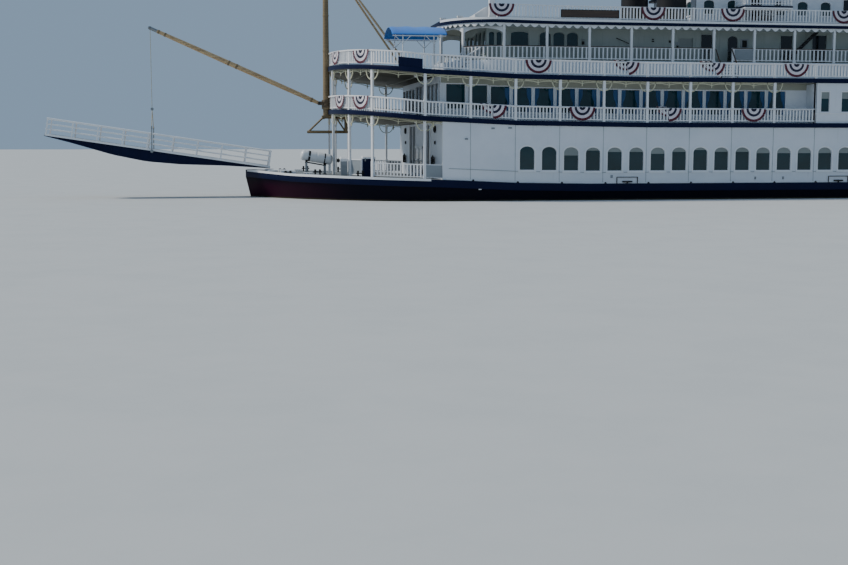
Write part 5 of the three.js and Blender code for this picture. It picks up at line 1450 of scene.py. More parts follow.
# %% [markdown]
# The mast stands in a notch of decks two and three. It is a painted pole with iron bands and a turned cap.
# Two wooden back stays brace it, and below deck two a bracket of two bars and a short spar carries its foot.

# %% Mast, bracket and back stays
MAST_X, MAST_FOOT, MAST_TOP, MAST_R, SEAT_Z, HEEL_Z = 3585, 795, 1933, 25, 852, 883
job = Joinery()
mast_profile = [(0.1, MAST_FOOT), (24.8, MAST_FOOT), (24.6, SEAT_Z - 12), (34, SEAT_Z - 12), (34, SEAT_Z),
                (24.5, SEAT_Z), (24.2, 950)]
for z, r in ((1250, 22.2), (1500, 20.7), (1740, 19.2)):
    mast_profile += [(r, z), (r + 1.6, z + 1), (r + 1.6, z + 13), (r, z + 14)]
mast_profile += [(18.2, 1905), (17, 1916), (17.6, 1921), (14, 1928), (0.1, MAST_TOP)]
job.turned(mast_profile, (MAST_X, 0, 0), sides=28)
job.fit("mast_pole", "root", [MAST_BROWN], "brown_paint", replaces=["mast"], smooth=40)

job = Joinery()
SPAR_Z, SPAR, STEP_BACK, STEP_HALF = 677, (3429, 3727), 3510, 28
under_nose = lambda x: DECK2[0] + deck_rise(x) - 0.3
job.beam([(x, -STEP_HALF, STEP_HALF, under_nose(x) - 22, under_nose(x)) for x in (3440, STEP_BACK + 10)])
job.box(STEP_BACK, MAST_X + 34, -STEP_HALF, STEP_HALF, MAST_FOOT - 22, MAST_FOOT - 0.3)
job.bar((MAST_X + 20, 0, MAST_FOOT - 10), (SPAR[1] - 12, 0, SPAR_Z + 4), 7, 14)
job.turned([(0.1, SPAR[0]), (8, SPAR[0]), (10.5, SPAR[0] + 6), (10.5, SPAR[1] - 6), (8, SPAR[1]),
            (0.1, SPAR[1])], (0, 0, SPAR_Z), sides=20, axis="X")
job.box(SPAR[0] + 4, SPAR[0] + 26, -11, 11, SPAR_Z, under_nose(SPAR[0]))
job.bar((SPAR[0] + 20, 0, SPAR_Z + 4), (STEP_BACK + 4, 0, MAST_FOOT - 16), 6, 14)
for x in (3534, 3604):
    for y in (-18, 18):
        job.turned([(0.1, 0), (5, 0), (5, -4), (0.1, -4.5)], (x, y, MAST_FOOT - 22), sides=6)
job.fit("mast_bracket_bars", "root", [MAST_BROWN], "brown_paint", replaces=["mast_bracket"], smooth=40)

STAY_X, STAY_Y = 2962, 150
stay_deck = DECK3[1] + deck_rise(STAY_X + 20) + 0.3
for side, sign in SIDES:
    job = Joinery()
    y = sign * STAY_Y
    foot = Vector((STAY_X, y, DECK3[1] + deck_rise(STAY_X + 20) + 6))
    head = Vector((MAST_X - MAST_R + 3, sign * 12, MAST_TOP - 26))
    middle, along = foot + (head - foot) * 0.5, (head - foot).normalized()
    job.bar(foot, middle, 7.2, 16, end_radius=8.4)
    job.bar(middle, head, 8.4, 16, end_radius=6.4)
    for share in (0.03, 0.97):
        at = foot + (head - foot) * share
        job.bar(at - along * 9, at + along * 9, 9, 16, finish=1)
    job.box(STAY_X - 20, STAY_X + 20, y - 20, y + 20, stay_deck, stay_deck + 5, finish=1)
    job.box(STAY_X - 12, STAY_X + 12, y - 4, y + 4, stay_deck + 4, stay_deck + 26, finish=1)
    for dx in (-14, 14):
        for dy in (-14, 14):
            job.turned([(0.1, 0), (3.6, 0), (3.6, 3), (0.1, 3.4)], (STAY_X + dx, y + dy, stay_deck + 5),
                       sides=6, finish=1)
    job.fit(f"mast_stay_spar_{side}", "root", [TIMBER, BLACK], "varnished_wood", replaces=[f"mast_stay_{side}"],
            smooth=40)

# %% [markdown]
# The boom's heel turns in a steel collar on the mast. The spar is thickest near the middle, as a real one is,
# with iron bands where the lines make fast. A tip with a slot lets the falls hang from a pin.

# %% Collar, boom and falls
IRON = coat("painted_iron", rgb(86, 72, 52), rgb(70, 58, 44), rgb(54, 38, 28), 0.6, streaks=0.3, mottle=0.7)
BOOM_PIN_X, BOOM_SLOPE, BOOM_LENGTH, LUG = 3637, math.radians(23.6), 1292, 14
job = Joinery()
job.hoop([(26.2, 0), (33, 0), (34, 2), (34, 18), (31, 21), (31, 34), (34, 37), (34, 53), (33, 55), (26.2, 55)],
         (MAST_X, 0, SEAT_Z + 0.3), sides=36, axis="Z")
for sign in (-1, 1):
    eye = [(BOOM_PIN_X + 13 * math.cos(a), HEEL_Z + 13 * math.sin(a)) for a in
           (math.radians(-75 + 15 * k) for k in range(11))]
    lug = [(MAST_X + 20, HEEL_Z - 13), (BOOM_PIN_X, HEEL_Z - 13), *eye, (BOOM_PIN_X, HEEL_Z + 13),
           (MAST_X + 20, HEEL_Z + 13)]
    job.loft([[(x, y, z) for x, z in lug] for y in sorted((sign * LUG, sign * (LUG + 7)))])
job.fit("collar_band", "collar", [IRON], "galvanised_steel", replaces=["boom_collar"], smooth=40)


def along_boom(s, y=0.0, up=0.0):
    c, t = math.cos(BOOM_SLOPE), math.sin(BOOM_SLOPE)
    return (BOOM_PIN_X + s * c - up * t, y, HEEL_Z + s * t + up * c)


def spar(job, rows, finish=0):
    """A round spar through rows of distance along the boom and radius."""
    job.loft([[along_boom(s, r * c, r * t) for c, t in around(20)] for s, r in rows], finish=finish)


def pin(job, centre, half, collar, shank, sides, finish):
    """A pin across the boat with a head at each end; collar is the heads' radius and length."""
    (head, deep), ends = collar, []
    for way in (-1, 1):
        ends.append([(0.1, way * half), (head, way * half), (head, way * (half - deep)),
                     (shank[0], way * shank[1])])
    job.turned(ends[0] + ends[1][::-1], centre, sides=sides, axis="Y", finish=finish)


job = Joinery()
spar(job, [(-8, 11), (0, 11.6), (40, 13.6), (90, 16), (300, 17.2), (700, 17.8), (1000, 15.8), (1240, 12.6)])
for sign in (-1, 1):
    job.loft([[along_boom(s, sign * y, up) for y, up in ((4.6, r * 0.93), (r * 0.7, r * 0.7), (r, 0),
                                                        (r * 0.7, -r * 0.7), (4.6, -r * 0.93))]
              for s, r in ((1238, 12.4), (1296, 12), (1306, 9))], finish=3)
for s, r in ((60, 17.2), (640, 19.2), (700, 19.3), (1180, 14.6), (1228, 14)):
    spar(job, [(s - 7, r - 1.5), (s - 6, r), (s + 6, r), (s + 7, r - 1.5)], finish=2)
pin(job, (BOOM_PIN_X, 0, HEEL_Z), 24, (6.5, 2.6), (4.9, 21.2), 16, 1)
tip = along_boom(BOOM_LENGTH)
pin(job, tip, 11.5, (5, 2), (2.9, 9.5), 12, 1)
job.fit("boom_spar", "boom_body", [TIMBER, BLACK, MAST_BROWN, STEEL], "varnished_wood", replaces=["boom"],
        smooth=40)

STAGE_SLOPE, STAGE_FOOT, STAGE_FOOT_Z, STAGE_LENGTH, STAGE_HALF = math.radians(8.4), 4000, 432, 1565, 118


def stage_point(s, y, h):
    c, t = math.cos(STAGE_SLOPE), math.sin(STAGE_SLOPE)
    return (STAGE_FOOT + s * c - h * t, y, STAGE_FOOT_Z + s * t + h * c)


hang = stage_point((tip[0] - STAGE_FOOT) / math.cos(STAGE_SLOPE), 0, -14)
HOOK_Z, LEG_Y, ELBOW_Z = 830, STAGE_HALF + 16, hang[2] + 160
job = Joinery()
for dy in (-1.7, 1.7):
    job.bar((tip[0], dy, tip[2] - 11), (tip[0], dy, HOOK_Z + 12), 1.6, finish=1)
for centre, r, half in ((tip, 13, 3.5), ((tip[0], 0, HOOK_Z + 6), 11, 4)):
    job.hoop([(3.7, -half), (r, -half), (r - 1.5, 0), (r, half), (3.7, half)], centre)
job.bar((tip[0], -6, HOOK_Z + 6), (tip[0], 6, HOOK_Z + 6), 3.8, 12)
for sign in (-1, 1):
    y = sign * LEG_Y
    job.bar((tip[0], 0, HOOK_Z), (tip[0], y, ELBOW_Z), 2.2, finish=1)
    job.bar((tip[0], y, ELBOW_Z + 3), (hang[0], y, hang[2] + 10), 4, 12)
    job.hoop([(5.7, -4), (11, -4), (11, 4), (5.7, 4)], (hang[0], y, hang[2]), sides=20)
    for k in range(5):
        z = ELBOW_Z - 4 + k * 4
        job.bar((tip[0], y, z), (tip[0], y, z + 3), 5.4, 10)
job.fit("falls_wires", "falls", [STEEL, ROPE], "galvanised_steel", replaces=["stage_falls"], smooth=40)

# %% [markdown]
# The landing stage is a footbridge on two fish-bellied trusses. From the bank we see the truss side on: a
# straight top boom, a curved bottom boom and uprights between, with a navy outer face. The deck is planked.

# %% Landing stage
GIRDER_SHAPE = [(0, 0.16), (0.2, 0.45), (0.4, 0.85), (0.55, 1), (0.7, 0.85), (0.88, 0.4), (1, 0.16)]
GIRDER_DEPTH, GIRDER_Y, PLANKS, STAGE_RAILS = 90, STAGE_HALF - 12, 62, ((36, 5), (72, 5), (108, 7))


def belly(share):
    """Depth of the truss at a share of its length, between the shape's rows."""
    for (a, da), (b, db) in zip(GIRDER_SHAPE, GIRDER_SHAPE[1:]):
        if share <= b:
            return GIRDER_DEPTH * (da + (db - da) * (share - a) / (b - a))


def stage_beam(job, rows, finish=0):
    """A beam through rows of distance along the stage, Y from and to, height from and to."""
    job.loft([[stage_point(*corner) for corner in across(*row)] for row in rows], finish=finish)


def stage_box(job, s0, s1, *sides, finish=0):
    stage_beam(job, [(s, *sides) for s in (s0, s1)], finish)


job = Joinery()
for i in range(PLANKS):
    s0 = STAGE_LENGTH * i / PLANKS
    stage_box(job, s0 + 0.8, s0 + STAGE_LENGTH / PLANKS - 0.8, -STAGE_HALF + 9, STAGE_HALF - 9, -7,
              random.uniform(-0.7, 0), finish=1)
stage_box(job, 0.5, STAGE_LENGTH - 0.5, -STAGE_HALF + 10, STAGE_HALF - 10, -12, -6.5, finish=1)
for sign in (-1, 1):
    stage_box(job, 0, STAGE_LENGTH, *sorted((sign * (STAGE_HALF - 10), sign * STAGE_HALF)), -12, 0)
    y = sign * GIRDER_Y
    curve = [(i / 32 * STAGE_LENGTH, -belly(i / 32)) for i in range(33)]
    stage_beam(job, [(s, y - 6, y + 6, d, d + 9) for s, d in curve])
    stage_beam(job, [(s, y - 1.5, y + 1.5, d + 8, -11) for s, d in curve])
    for i in range(1, 24):
        s, d = i / 24 * STAGE_LENGTH, -belly(i / 24)
        stage_box(job, s - 3, s + 3, y - 5, y + 5, d + 2, -11)
pin(job, hang, STAGE_HALF + 24, (7, 2.5), (4.9, STAGE_HALF + 21.5), 16, 2)
for i in range(1, 12):
    s = STAGE_LENGTH * i / 12
    stage_box(job, s - 4, s + 4, -GIRDER_Y, GIRDER_Y, -22, -11.5)
job.fit("stage_trusses", "stage", [NAVY, TIMBER, STEEL], "navy_paint", replaces=["stage_platform"], smooth=40)

for side, sign in SIDES:
    job = Joinery()
    y = sign * (STAGE_HALF - 8)
    for h, half in STAGE_RAILS:
        job.loft([[Vector(stage_point(s, y, h)) + Vector((0, half * c, half * t)) for c, t in around(10)]
                  for s in (4, STAGE_LENGTH - 4)])
    stage_box(job, 2, STAGE_LENGTH - 2, sign * STAGE_HALF - 1.5, sign * STAGE_HALF + 1.5, -11, 3)
    for i in range(10):
        s = 10 + (STAGE_LENGTH - 20) * i / 9
        stage_box(job, s - 4.6, s + 4.6, y - 4, y + 4, 0.3, 108)
        stage_box(job, s - 7, s + 7, y - 6, y + 6, 0.3, 3)
        job.turned([(0.1, 0), (4.6, 0), (4.8, 3), (3, 6), (0.1, 7)], stage_point(s, y, 107.5), sides=10)
    job.fit(f"stage_railing_{side}", "stage", [TRIM], "white_paint", replaces=[f"stage_rail_{side}"], smooth=40)

# %% [markdown]
# The stern wheel is a wooden wheel: iron flanges on the shaft, arms of plank, rims that tie the arms, and a
# bucket plank at each arm. Every plank gets a slightly different width so it doesn't read as machined.

# %% Stern wheel and its beams
WHEEL_X, WHEEL_Z, WHEEL_R, WHEEL_HALF, ARMS, BUCKET = -4595, 504, 366, 548, 14, 78
BEAM_Y, BEAM_HALF, FRAME_SHARES = WHEEL_HALF + 42, 26, (-0.94, -0.32, 0.32, 0.94)
WHEEL_FLANGE = [(0.1, -14), (34, -14), (36, -9), (56, -9), (58, -7), (58, 7), (56, 9), (36, 9), (34, 14), (0.1, 14)]


def wheel_board(job, arm, r0, r1, y0, y1, half, finish=0, skew=0.0):
    a = math.tau * arm / ARMS + skew
    c, t = math.cos(a), math.sin(a)
    job.loft([[(WHEEL_X + r * c + v * t, y, WHEEL_Z + r * t - v * c) for y, v in
               ((y0, -half), (y1, -half), (y1, half), (y0, half))] for r in (r0, r1)], finish=finish)


job = Joinery()
shaft = [(0.1, BEAM_Y + BEAM_HALF + 6), (15, BEAM_Y + BEAM_HALF + 6), (17, BEAM_Y + BEAM_HALF + 3),
         (17, WHEEL_HALF + 10), (24, WHEEL_HALF + 8)]
job.turned([(r, -y) for r, y in shaft] + shaft[::-1], (WHEEL_X, 0, WHEEL_Z), sides=28, axis="Y", finish=1)
for share in FRAME_SHARES:
    y = share * WHEEL_HALF
    job.turned(WHEEL_FLANGE, (WHEEL_X, y, WHEEL_Z), sides=42, axis="Y", finish=1)
    for r in (WHEEL_R - BUCKET - 8, (WHEEL_R - BUCKET) * 0.62):
        job.hoop([(r - 7, -5), (r + 7, -5), (r + 7, 5), (r - 7, 5)], (WHEEL_X, y, WHEEL_Z), sides=ARMS * 4)
    for arm, (c, t) in enumerate(around(ARMS)):
        wheel_board(job, arm, 40, WHEEL_R - 6, y - 6, y + 6, 6.5)
        for r in (46, 53):
            x, z = WHEEL_X + r * c, WHEEL_Z + r * t
            job.bar((x, y - 11, z), (x, y + 11, z), 2, 6, finish=1)
for arm in range(ARMS):
    edge = WHEEL_R - BUCKET + random.uniform(-2, 2)
    middle = WHEEL_R - BUCKET / 2 + random.uniform(-3, 3)
    wheel_board(job, arm, edge, middle - 0.8, -WHEEL_HALF, WHEEL_HALF, 3.4, skew=0.004)
    wheel_board(job, arm, middle + 0.8, WHEEL_R, -WHEEL_HALF, WHEEL_HALF, 3.4, skew=-0.002)
    for share in FRAME_SHARES:
        y = share * WHEEL_HALF
        for r in (edge + 14, WHEEL_R - 14):
            wheel_board(job, arm, r - 3, r + 3, y - 14, y + 14, 8, finish=1)
job.fit("wheel_timbers", "wheel", [RED, BLACK], "red_paint", replaces=["paddle_wheel"], smooth=40)

# X, low edge and high edge of the beam ahead of the shaft, its lower half and its end behind the shaft
BEAM_PARTS = [((-3910, 324.3, 400), (-4165, 324.3, 500), (WHEEL_X + 110, 420, 520)),
              ((WHEEL_X + 51, 429, 484), (WHEEL_X - 90, 440, 484)),
              ((WHEEL_X - 52, 483, 520), (WHEEL_X - 90, 483, 520))]
FORK_ROWS = ((WHEEL_X + 112, 420, 520), (WHEEL_X + 50, 428, 520))
for side, sign in SIDES:
    y = sign * BEAM_Y
    job = Joinery()
    for part in BEAM_PARTS:
        job.beam([(x, y - BEAM_HALF, y + BEAM_HALF, low, high) for x, low, high in part])
    for dy in (-17, 17):
        job.beam([(x, y + dy - 8.6, y + dy + 8.6, low, high) for x, low, high in FORK_ROWS])
    bearing = []
    for c, t in around(32):
        r = min(50 / max(abs(c), 1e-6), (56 if t > 0 else 34) / max(abs(t), 1e-6))
        bearing.append([(WHEEL_X + q * c, y + dy, WHEEL_Z + q * t) for q, dy in
                        ((18.2, -BEAM_HALF - 2), (r, -BEAM_HALF - 2), (r, BEAM_HALF + 2), (18.2, BEAM_HALF + 2))])
    job.loft(bearing, ring=True, finish=1)
    for x in (WHEEL_X - 36, WHEEL_X + 36):
        job.turned([(0.1, 0), (7, 0), (7, 6), (4, 7), (4, 14), (0.1, 15)], (x, y, 559), sides=6, finish=1)
    for x in (-4100, -4240, -4380):
        low = 324 if x > -4165 else 324.3 + (420 - 324.3) * (x + 4165) / (WHEEL_X + 110 + 4165)
        job.box(x - 8, x + 8, y - BEAM_HALF - 1.5, y + BEAM_HALF + 1.5, low + 2, low + 12, finish=1)
    job.fit(f"wheel_beam_timber_{side}", "root", [TRIM, BLACK], "white_paint", replaces=[f"wheel_beam_{side}"],
            bevel=1.2)

# X from the stock and half thickness of the blade
BLADE = [(-150, 1.5), (-120, 4), (-60, 7), (-20, 8.8), (20, 8.8), (50, 7.6), (75, 5), (90, 1.5)]
STOCK_X = -3990
stern_bottom = lambda x: 150 * (x + 3600) / (TRANSOM + 3600)
for side, sign in SIDES:
    job = Joinery()
    y = sign * 350
    job.beam([(STOCK_X + dx, y - half, y + half, 12, stern_bottom(-3900) - 9) for dx, half in BLADE])
    job.turned([(0.1, 40), (12, 40), (12, stern_bottom(STOCK_X) + 24), (0.1, stern_bottom(STOCK_X) + 25)],
               (STOCK_X, y, 0), sides=20)
    for z in (35, 80):
        job.beam([(STOCK_X + dx, y - half - 2, y + half + 2, z, z + 8) for dx, half in BLADE[1:-1]])
    job.fit(f"rudder_blade_{side}", f"rudder_{side[0]}", [BLACK], "hull_paint", replaces=[f"rudder_{side}"],
            bevel=0.8)

# %% [markdown]
# On the foredeck stands a life-raft canister, two moulded shells closed by straps, on a steel cradle. Beside
# it are a locker with a pale lid, and the porch doors, two glazed leaves.

# %% Foredeck pieces and porch doors
GRP = coat("white_moulded_shell", rgb(236, 238, 240), rgb(214, 218, 222), GRIME, 0.3, streaks=0.25, gloss=0.3)
CANISTER_AT, CANISTER_LENGTH, CANISTER_R, CANISTER_TILT = (3680, 250, 497), 230, 37, math.radians(10)


def on_canister(s, y, z):
    """A point measured along, across and up from the middle of the tilted canister."""
    c, t = math.cos(CANISTER_TILT), math.sin(CANISTER_TILT)
    return (CANISTER_AT[0] + s * c - z * t, CANISTER_AT[1] + y, CANISTER_AT[2] + s * t + z * c)


def canister_rings(job, profile, finish=0):
    job.loft([[on_canister(s, r * c, r * t) for c, t in around(36)] for r, s in profile], finish=finish)


job = Joinery()
half = CANISTER_LENGTH / 2
end = [(r, s - half) for r, s in ((0.1, 0), (16, 1.2), (25, 4.5), (33, 11), (36.4, 19), (CANISTER_R, 28))]
profile = end.copy()
for s in (-58, 0, 58):
    profile += [(CANISTER_R, s - 6), (CANISTER_R - 1.8, s - 4.5), (CANISTER_R - 1.8, s + 4.5), (CANISTER_R, s + 6)]
canister_rings(job, profile + [(r, -s) for r, s in end[::-1]])
for way in (-1, 1):
    y = way * (CANISTER_R - 1)
    job.loft([[on_canister(*corner) for corner in across(s, y - 1.4, y + 1.4, -2, 2)]
              for s in (20 - half, half - 20)])
for s, reach in ((-58, 4), (52, 7)):
    canister_rings(job, [(CANISTER_R - 1.6, s - reach), (CANISTER_R + 0.2, s - reach),
                         (CANISTER_R + 0.2, s + reach), (CANISTER_R - 1.6, s + reach)], finish=1)
job.fit("canister_shell", "root", [GRP, BLACK], "white_paint", replaces=["raft_canister"], smooth=40)

job = Joinery()
for s in (-66, 66):
    saddle = [math.radians(-128 + 76 * i / 12) for i in range(13)]
    job.loft([[on_canister(s + dx, q * math.cos(a), q * math.sin(a)) for q, dx in
               ((37.4, -8), (42, -8), (42, 8), (37.4, 8))] for a in saddle])
    x, _, top = on_canister(s, 0, -CANISTER_R - 7)
    y = CANISTER_AT[1]
    job.box(x - 8, x + 8, y - 30, y + 30, top - 6, top + 1.5)
    for dy in (-26, 26):
        job.post(x, y + dy, 12, lambda px: main_top(px) + 0.3, flat(top - 2), finish=1)
        job.box(x - 13, x + 13, y + dy - 13, y + dy + 13, main_top(x) + 0.3, main_top(x) + 4.5)
        job.bar((x, y + dy, top - 34), (x, y + dy * 0.25, top - 4), 3)
job.bar(*(on_canister(s, 0, -CANISTER_R - 9) for s in (-66, 66)), 4.6)
job.fit("cradle_frame", "root", [BLACK, STEEL], "black_paint", replaces=["raft_cradle"], smooth=40)

job = Joinery()
LOCKER = (3312, 3396, 560, 640)
LID = (LOCKER[0] - 2, LOCKER[1] + 2, LOCKER[2] - 2, LOCKER[3] + 2)
base = main_top(LOCKER[1]) + 0.3
job.box(*LOCKER, base, base + 122)
job.box(*LID, base + 121, base + 134, finish=1)
middle = (LOCKER[2] + LOCKER[3]) / 2
job.loft([[(x, LID[2], base + 133), (x, LID[3], base + 133), (x, middle + 20, base + 139),
           (x, middle - 20, base + 139)] for x in LID[:2]], finish=1)
for x in (LOCKER[0] + 16, LOCKER[1] - 16):
    job.box(x - 5, x + 5, LOCKER[3] + 1, LOCKER[3] + 4, base + 104, base + 126, finish=2)
job.fit("locker_box", "root", [NAVY, TRIM, STEEL], "navy_paint", replaces=["porch_locker"], bevel=1.2)

job = Joinery()
panel_line = [nose_point(18, 13.6)[:2], (COL0 + COLUMN, SIDE_LINE + 11)]
for thickness, low, high in ((4, 0.5, 61), (5.6, 57, 61.5), (5.6, 0.5, 5)):
    job.ribbon(panel_line, thickness, level(DECK3[1] + low, deck_rise), level(DECK3[1] + high, deck_rise))
job.fit("rail_panel_board", "root", [NAVY], "navy_paint", replaces=["rail_panel"], bevel=0.6)

HINGE_X = MAIN_FRONT + 7 + 5.3
DOOR_Z = (main_top(MAIN_FRONT) + 18, main_top(MAIN_FRONT) + 219)
for side, sign in SIDES:
    job = Joinery()
    low, high = sorted((sign * 1, sign * 174))
    z0, z1 = DOOR_Z
    middle, y = (z0 + z1) / 2, sign * 9
    for frame_part in ((low, high, z0, z0 + 34), (low, high, z1 - 16, z1), (low, low + 15, z0, z1),
                       (high - 15, high, z0, z1)):
        job.box(HINGE_X - 5, HINGE_X + 5, *frame_part)
    job.box(HINGE_X - 2, HINGE_X + 2, low + 14, high - 14, z0 + 33, z1 - 15, finish=1)
    job.box(HINGE_X - 3.5, HINGE_X + 3.5, low + 14, high - 14, middle - 3, middle + 3)
    job.bar((HINGE_X + 6, y, middle - 28), (HINGE_X + 6, y, middle + 12), 2.2, finish=2)
    for z in (middle - 26, middle + 10):
        job.bar((HINGE_X + 3, y, z), (HINGE_X + 6.5, y, z), 2, finish=2)
    job.fit(f"porch_door_leaf_{side}", f"door_{side[0]}", [TRIM, DOOR_GLASS, STEEL], "dark_glass",
            replaces=[f"porch_door_{side}"], bevel=0.7)

# %% [markdown]
# The canopy is one piece of blue canvas laced over a light pipe frame at the forward end of deck three. It is
# cut as a rectangle: the length between its ends, times the arc over the frame. The cloth sags a little
# between the hoops and its edges droop, so the mesh is a grid that follows the frame's arc, lowered there.

# %% Canopy
CANVAS = cloth_material("blue_canvas", rgb(42, 128, 214), rgb(30, 104, 192), thread=1400.0, sheen=0.25)
CANOPY, CANOPY_Y, CANOPY_EAVE, CANOPY_RISE, CANOPY_FRAME = (2807, 3188), (190, 600), 1328, 70, (2899, 3113)
PIPE_YS = (CANOPY_Y[0] + 5, CANOPY_Y[1] - 5)


def canopy_point(share):
    """Y and height of the frame at a share of its width."""
    return (CANOPY_Y[0] + share * (CANOPY_Y[1] - CANOPY_Y[0]),
            CANOPY_EAVE + CANOPY_RISE * max(math.sin(math.pi * share), 0) ** 0.7)


grid, arc, last = [], 0.0, None
for share in (0.5 - 0.5 * math.cos(math.pi * r / 28) for r in range(29)):
    y, z = canopy_point(share)
    arc += math.hypot(y - last[0], z - last[1]) if last else 0
    last = (y, z)
    crown = max(math.sin(math.pi * share), 0)
    row = []
    for s in (c / 36 for c in range(37)):
        sag = 4.5 * math.sin(math.pi * s * 3) ** 2 * crown
        droop = 9.0 * (max(abs(s * 2 - 1) - 0.8, 0) / 0.2) ** 2 * crown ** 0.5
        row.append((CANOPY[0] + s * (CANOPY[1] - CANOPY[0]), y, z + 3 - sag - droop))
    grid.append(row)
job = Joinery()
for x in CANOPY_FRAME:
    hoop = [(x, y, z - 6) for y, z in (canopy_point(t / 20) for t in range(21))]
    for a, b in zip(hoop, hoop[1:]):
        job.bar(a, b, 3)
    foot = DECK3[1] + deck_rise(x) + 0.3
    for y in PIPE_YS:
        job.bar((x, y, foot), (x, y, CANOPY_EAVE - 2), 4.2, 12)
        job.turned([(0.1, 0), (12, 0), (12, 3), (6, 5), (0.1, 5)], (x, y, foot), sides=16)
        for way in (-1, 1):
            job.bar((x, y, CANOPY_EAVE - 60), (x + way * 55, y, CANOPY_EAVE - 5), 2.6)
for y in PIPE_YS:
    job.bar((CANOPY[0] + 6, y, CANOPY_EAVE - 5), (CANOPY[1] - 6, y, CANOPY_EAVE - 5), 4, 12)
job.fit("canopy_pipes", "root", [TRIM], "white_paint", replaces=["canopy_frame"], smooth=40)
sheet_piece("canopy_cloth", "root", grid, [CANVAS],
            thick=1.6, replaces=["canopy"])

# %% [markdown]
# Bunting is the boat's fanciest cloth: half round pleated fans on a tape. A fan starts as a striped strip,
# pleated and drawn together along one edge, so its stripes turn into half rings. Each fan here is a polar
# grid. Its rings carry the colours, and the pleats are a wave that grows towards the rim. Where the wind
# has thrown half of a fan over the rail, that half lies on the rail and drops behind it.

# %% Bunting
FAN_NAVY = cloth_material("bunting_navy", rgb(16, 22, 58), rgb(12, 16, 44), thread=1300.0)
FAN_WHITE = cloth_material("bunting_white", rgb(236, 230, 236), rgb(214, 206, 218), thread=1300.0)
FAN_RED = cloth_material("bunting_red", rgb(94, 17, 44), rgb(74, 13, 37), thread=1300.0)
FAN_CLOTHS = [FAN_NAVY, FAN_WHITE, FAN_RED]
FAN_RADIUS, FAN_CUT, FAN_AREA, PLEATS = 90, (0.182, 0.092), 0.0134, 22
# Share of the radius where a ring ends, cloth of that ring
FAN_RINGS = [(0.04, 0), (0.23, 0), (0.33, 1), (0.43, 1), (0.52, 0), (0.61, 0), (0.71, 1), (0.82, 1), (0.91, 2),
             (1.0, 2)]
TAPE_TOP, NOSE_TAPE = 98, 2.6
fans = []


def fan_grid(x, y, heading, top, outward, thrown=None):
    """Points of one fan; thrown gives the share of its sweep up to which the cloth lies over the rail."""
    c, t = math.cos(heading), math.sin(heading)
    grid = []
    for share, _ in FAN_RINGS:
        row = []
        for i in range(PLEATS * 4 + 1):
            sweep = i / (PLEATS * 4)
            a = math.pi * sweep
            pleat = math.sin(math.tau * PLEATS * sweep) * (0.4 + 2.0 * share)
            u, drop, out = FAN_RADIUS * share * math.cos(a), FAN_RADIUS * share * math.sin(a), pleat
            if thrown and sweep < thrown:
                over = min(drop, 16)
                out, drop = -over + pleat * 0.4, -8 - abs(pleat) * 1.6 + max(drop - 16, 0) * 0.9
            row.append((x + u * c - outward * out * t, y + u * t + outward * out * c, top - drop))
        grid.append(row)
    return grid


def hang_fan(name, x, y, heading, top, outward, thrown=None):
    marks = [[cloth] * (PLEATS * 4) for _, cloth in FAN_RINGS[1:]]
    sheet_piece(name, "root", fan_grid(x, y, heading, top, outward, thrown), FAN_CLOTHS,
                marks=marks)
    fans.append(name)


TAPE_CLOTH = cloth_material("bunting_tape", rgb(238, 238, 240), rgb(220, 220, 226), thread=1300.0)
# Deck, carrier, floor, distance out, bays, fans thrown over on the port side, aft end, angles at the bow
BUNTING = [("deck2", "joinery", DECK2[1], 10.8, (1.5, 3.5, 5.5, 7.5), {5.5: 0.49, 1.5: 0.49}, FLUSH_X + 20,
            (66.5, 45.5)),
           ("deck3", "balustrade", DECK3[1], 6.8, [2.5 + 2 * i for i in range(10)], {4.5: 0.56, 6.5: 0.62},
            side_x(DECK3_BAYS), (73, 45.5))]
for deck, kind, floor, out, bays, thrown, aft, round_the_nose in BUNTING:
    for side, sign in SIDES:
        line = on_side(row_path(aft, out, out + NOSE_TAPE), sign)
        grid = [[(x, y, floor + high + deck_rise(x)) for x, y, *_ in line] for high in (89, 99.5)]
        length = sum(math.hypot(b[0] - a[0], b[1] - a[1]) for a, b in zip(line, line[1:]))
        tape = f"bunting_tape_{deck}_{side}"
        sheet_piece(tape, "root", grid, [TAPE_CLOTH],
                    thick=1.2, replaces=[f"bunting_{deck}_{side}"])
        for bay in bays:
            x = side_x(bay)
            hang_fan(f"fan_{deck}_{side}_{int(bay):02d}", x, sign * (SIDE_LINE + out + 2), 0,
                     floor + TAPE_TOP + deck_rise(x - FAN_RADIUS), sign,
                     thrown.get(bay) if sign > 0 else None)
        for angle in round_the_nose:
            x, y, heading = nose_point(angle, out + NOSE_TAPE + 2)
            hang_fan(f"fan_{deck}_{side}_nose{int(angle)}", x, sign * y, sign * heading,
                     floor + TAPE_TOP - 3 + deck_rise(x), sign)
for side, sign in SIDES:
    for i, x in enumerate([2430, 1340, 750] + [-95 - 610 * k for k in range(7)]):
        if sign > 0 or i != 1:
            hang_fan(f"fan_deck4_{side}_{i:02d}", x, sign * (GALLERY_LINE + RAIL / 2 + 3), 0,
                     roof_top(x) + 98, sign)
print("fans hung:", len(fans))

# %% [markdown]
# Small fittings make a boat look used: lamps by the doors, a bare notice board, a ladder up to the next deck,
# low chocks along the deck's edge. Each kind is one short form, repeated from a table of its places, and the
# other side of the boat gets the same.

# %% Small fittings
LAMP = coat("frosted_lamp_glass", rgb(238, 238, 230), rgb(222, 222, 214), GRIME, 0.3, streaks=0.1, shine=0.6)
GREY = coat("grey_panel_paint", rgb(146, 154, 160), rgb(130, 138, 144), GRIME, 0.5, streaks=0.4, shine=0.3)
FITTING_FINISHES = [BLACK, LAMP, TRIM, GREY, DARK_WOOD, STEEL]
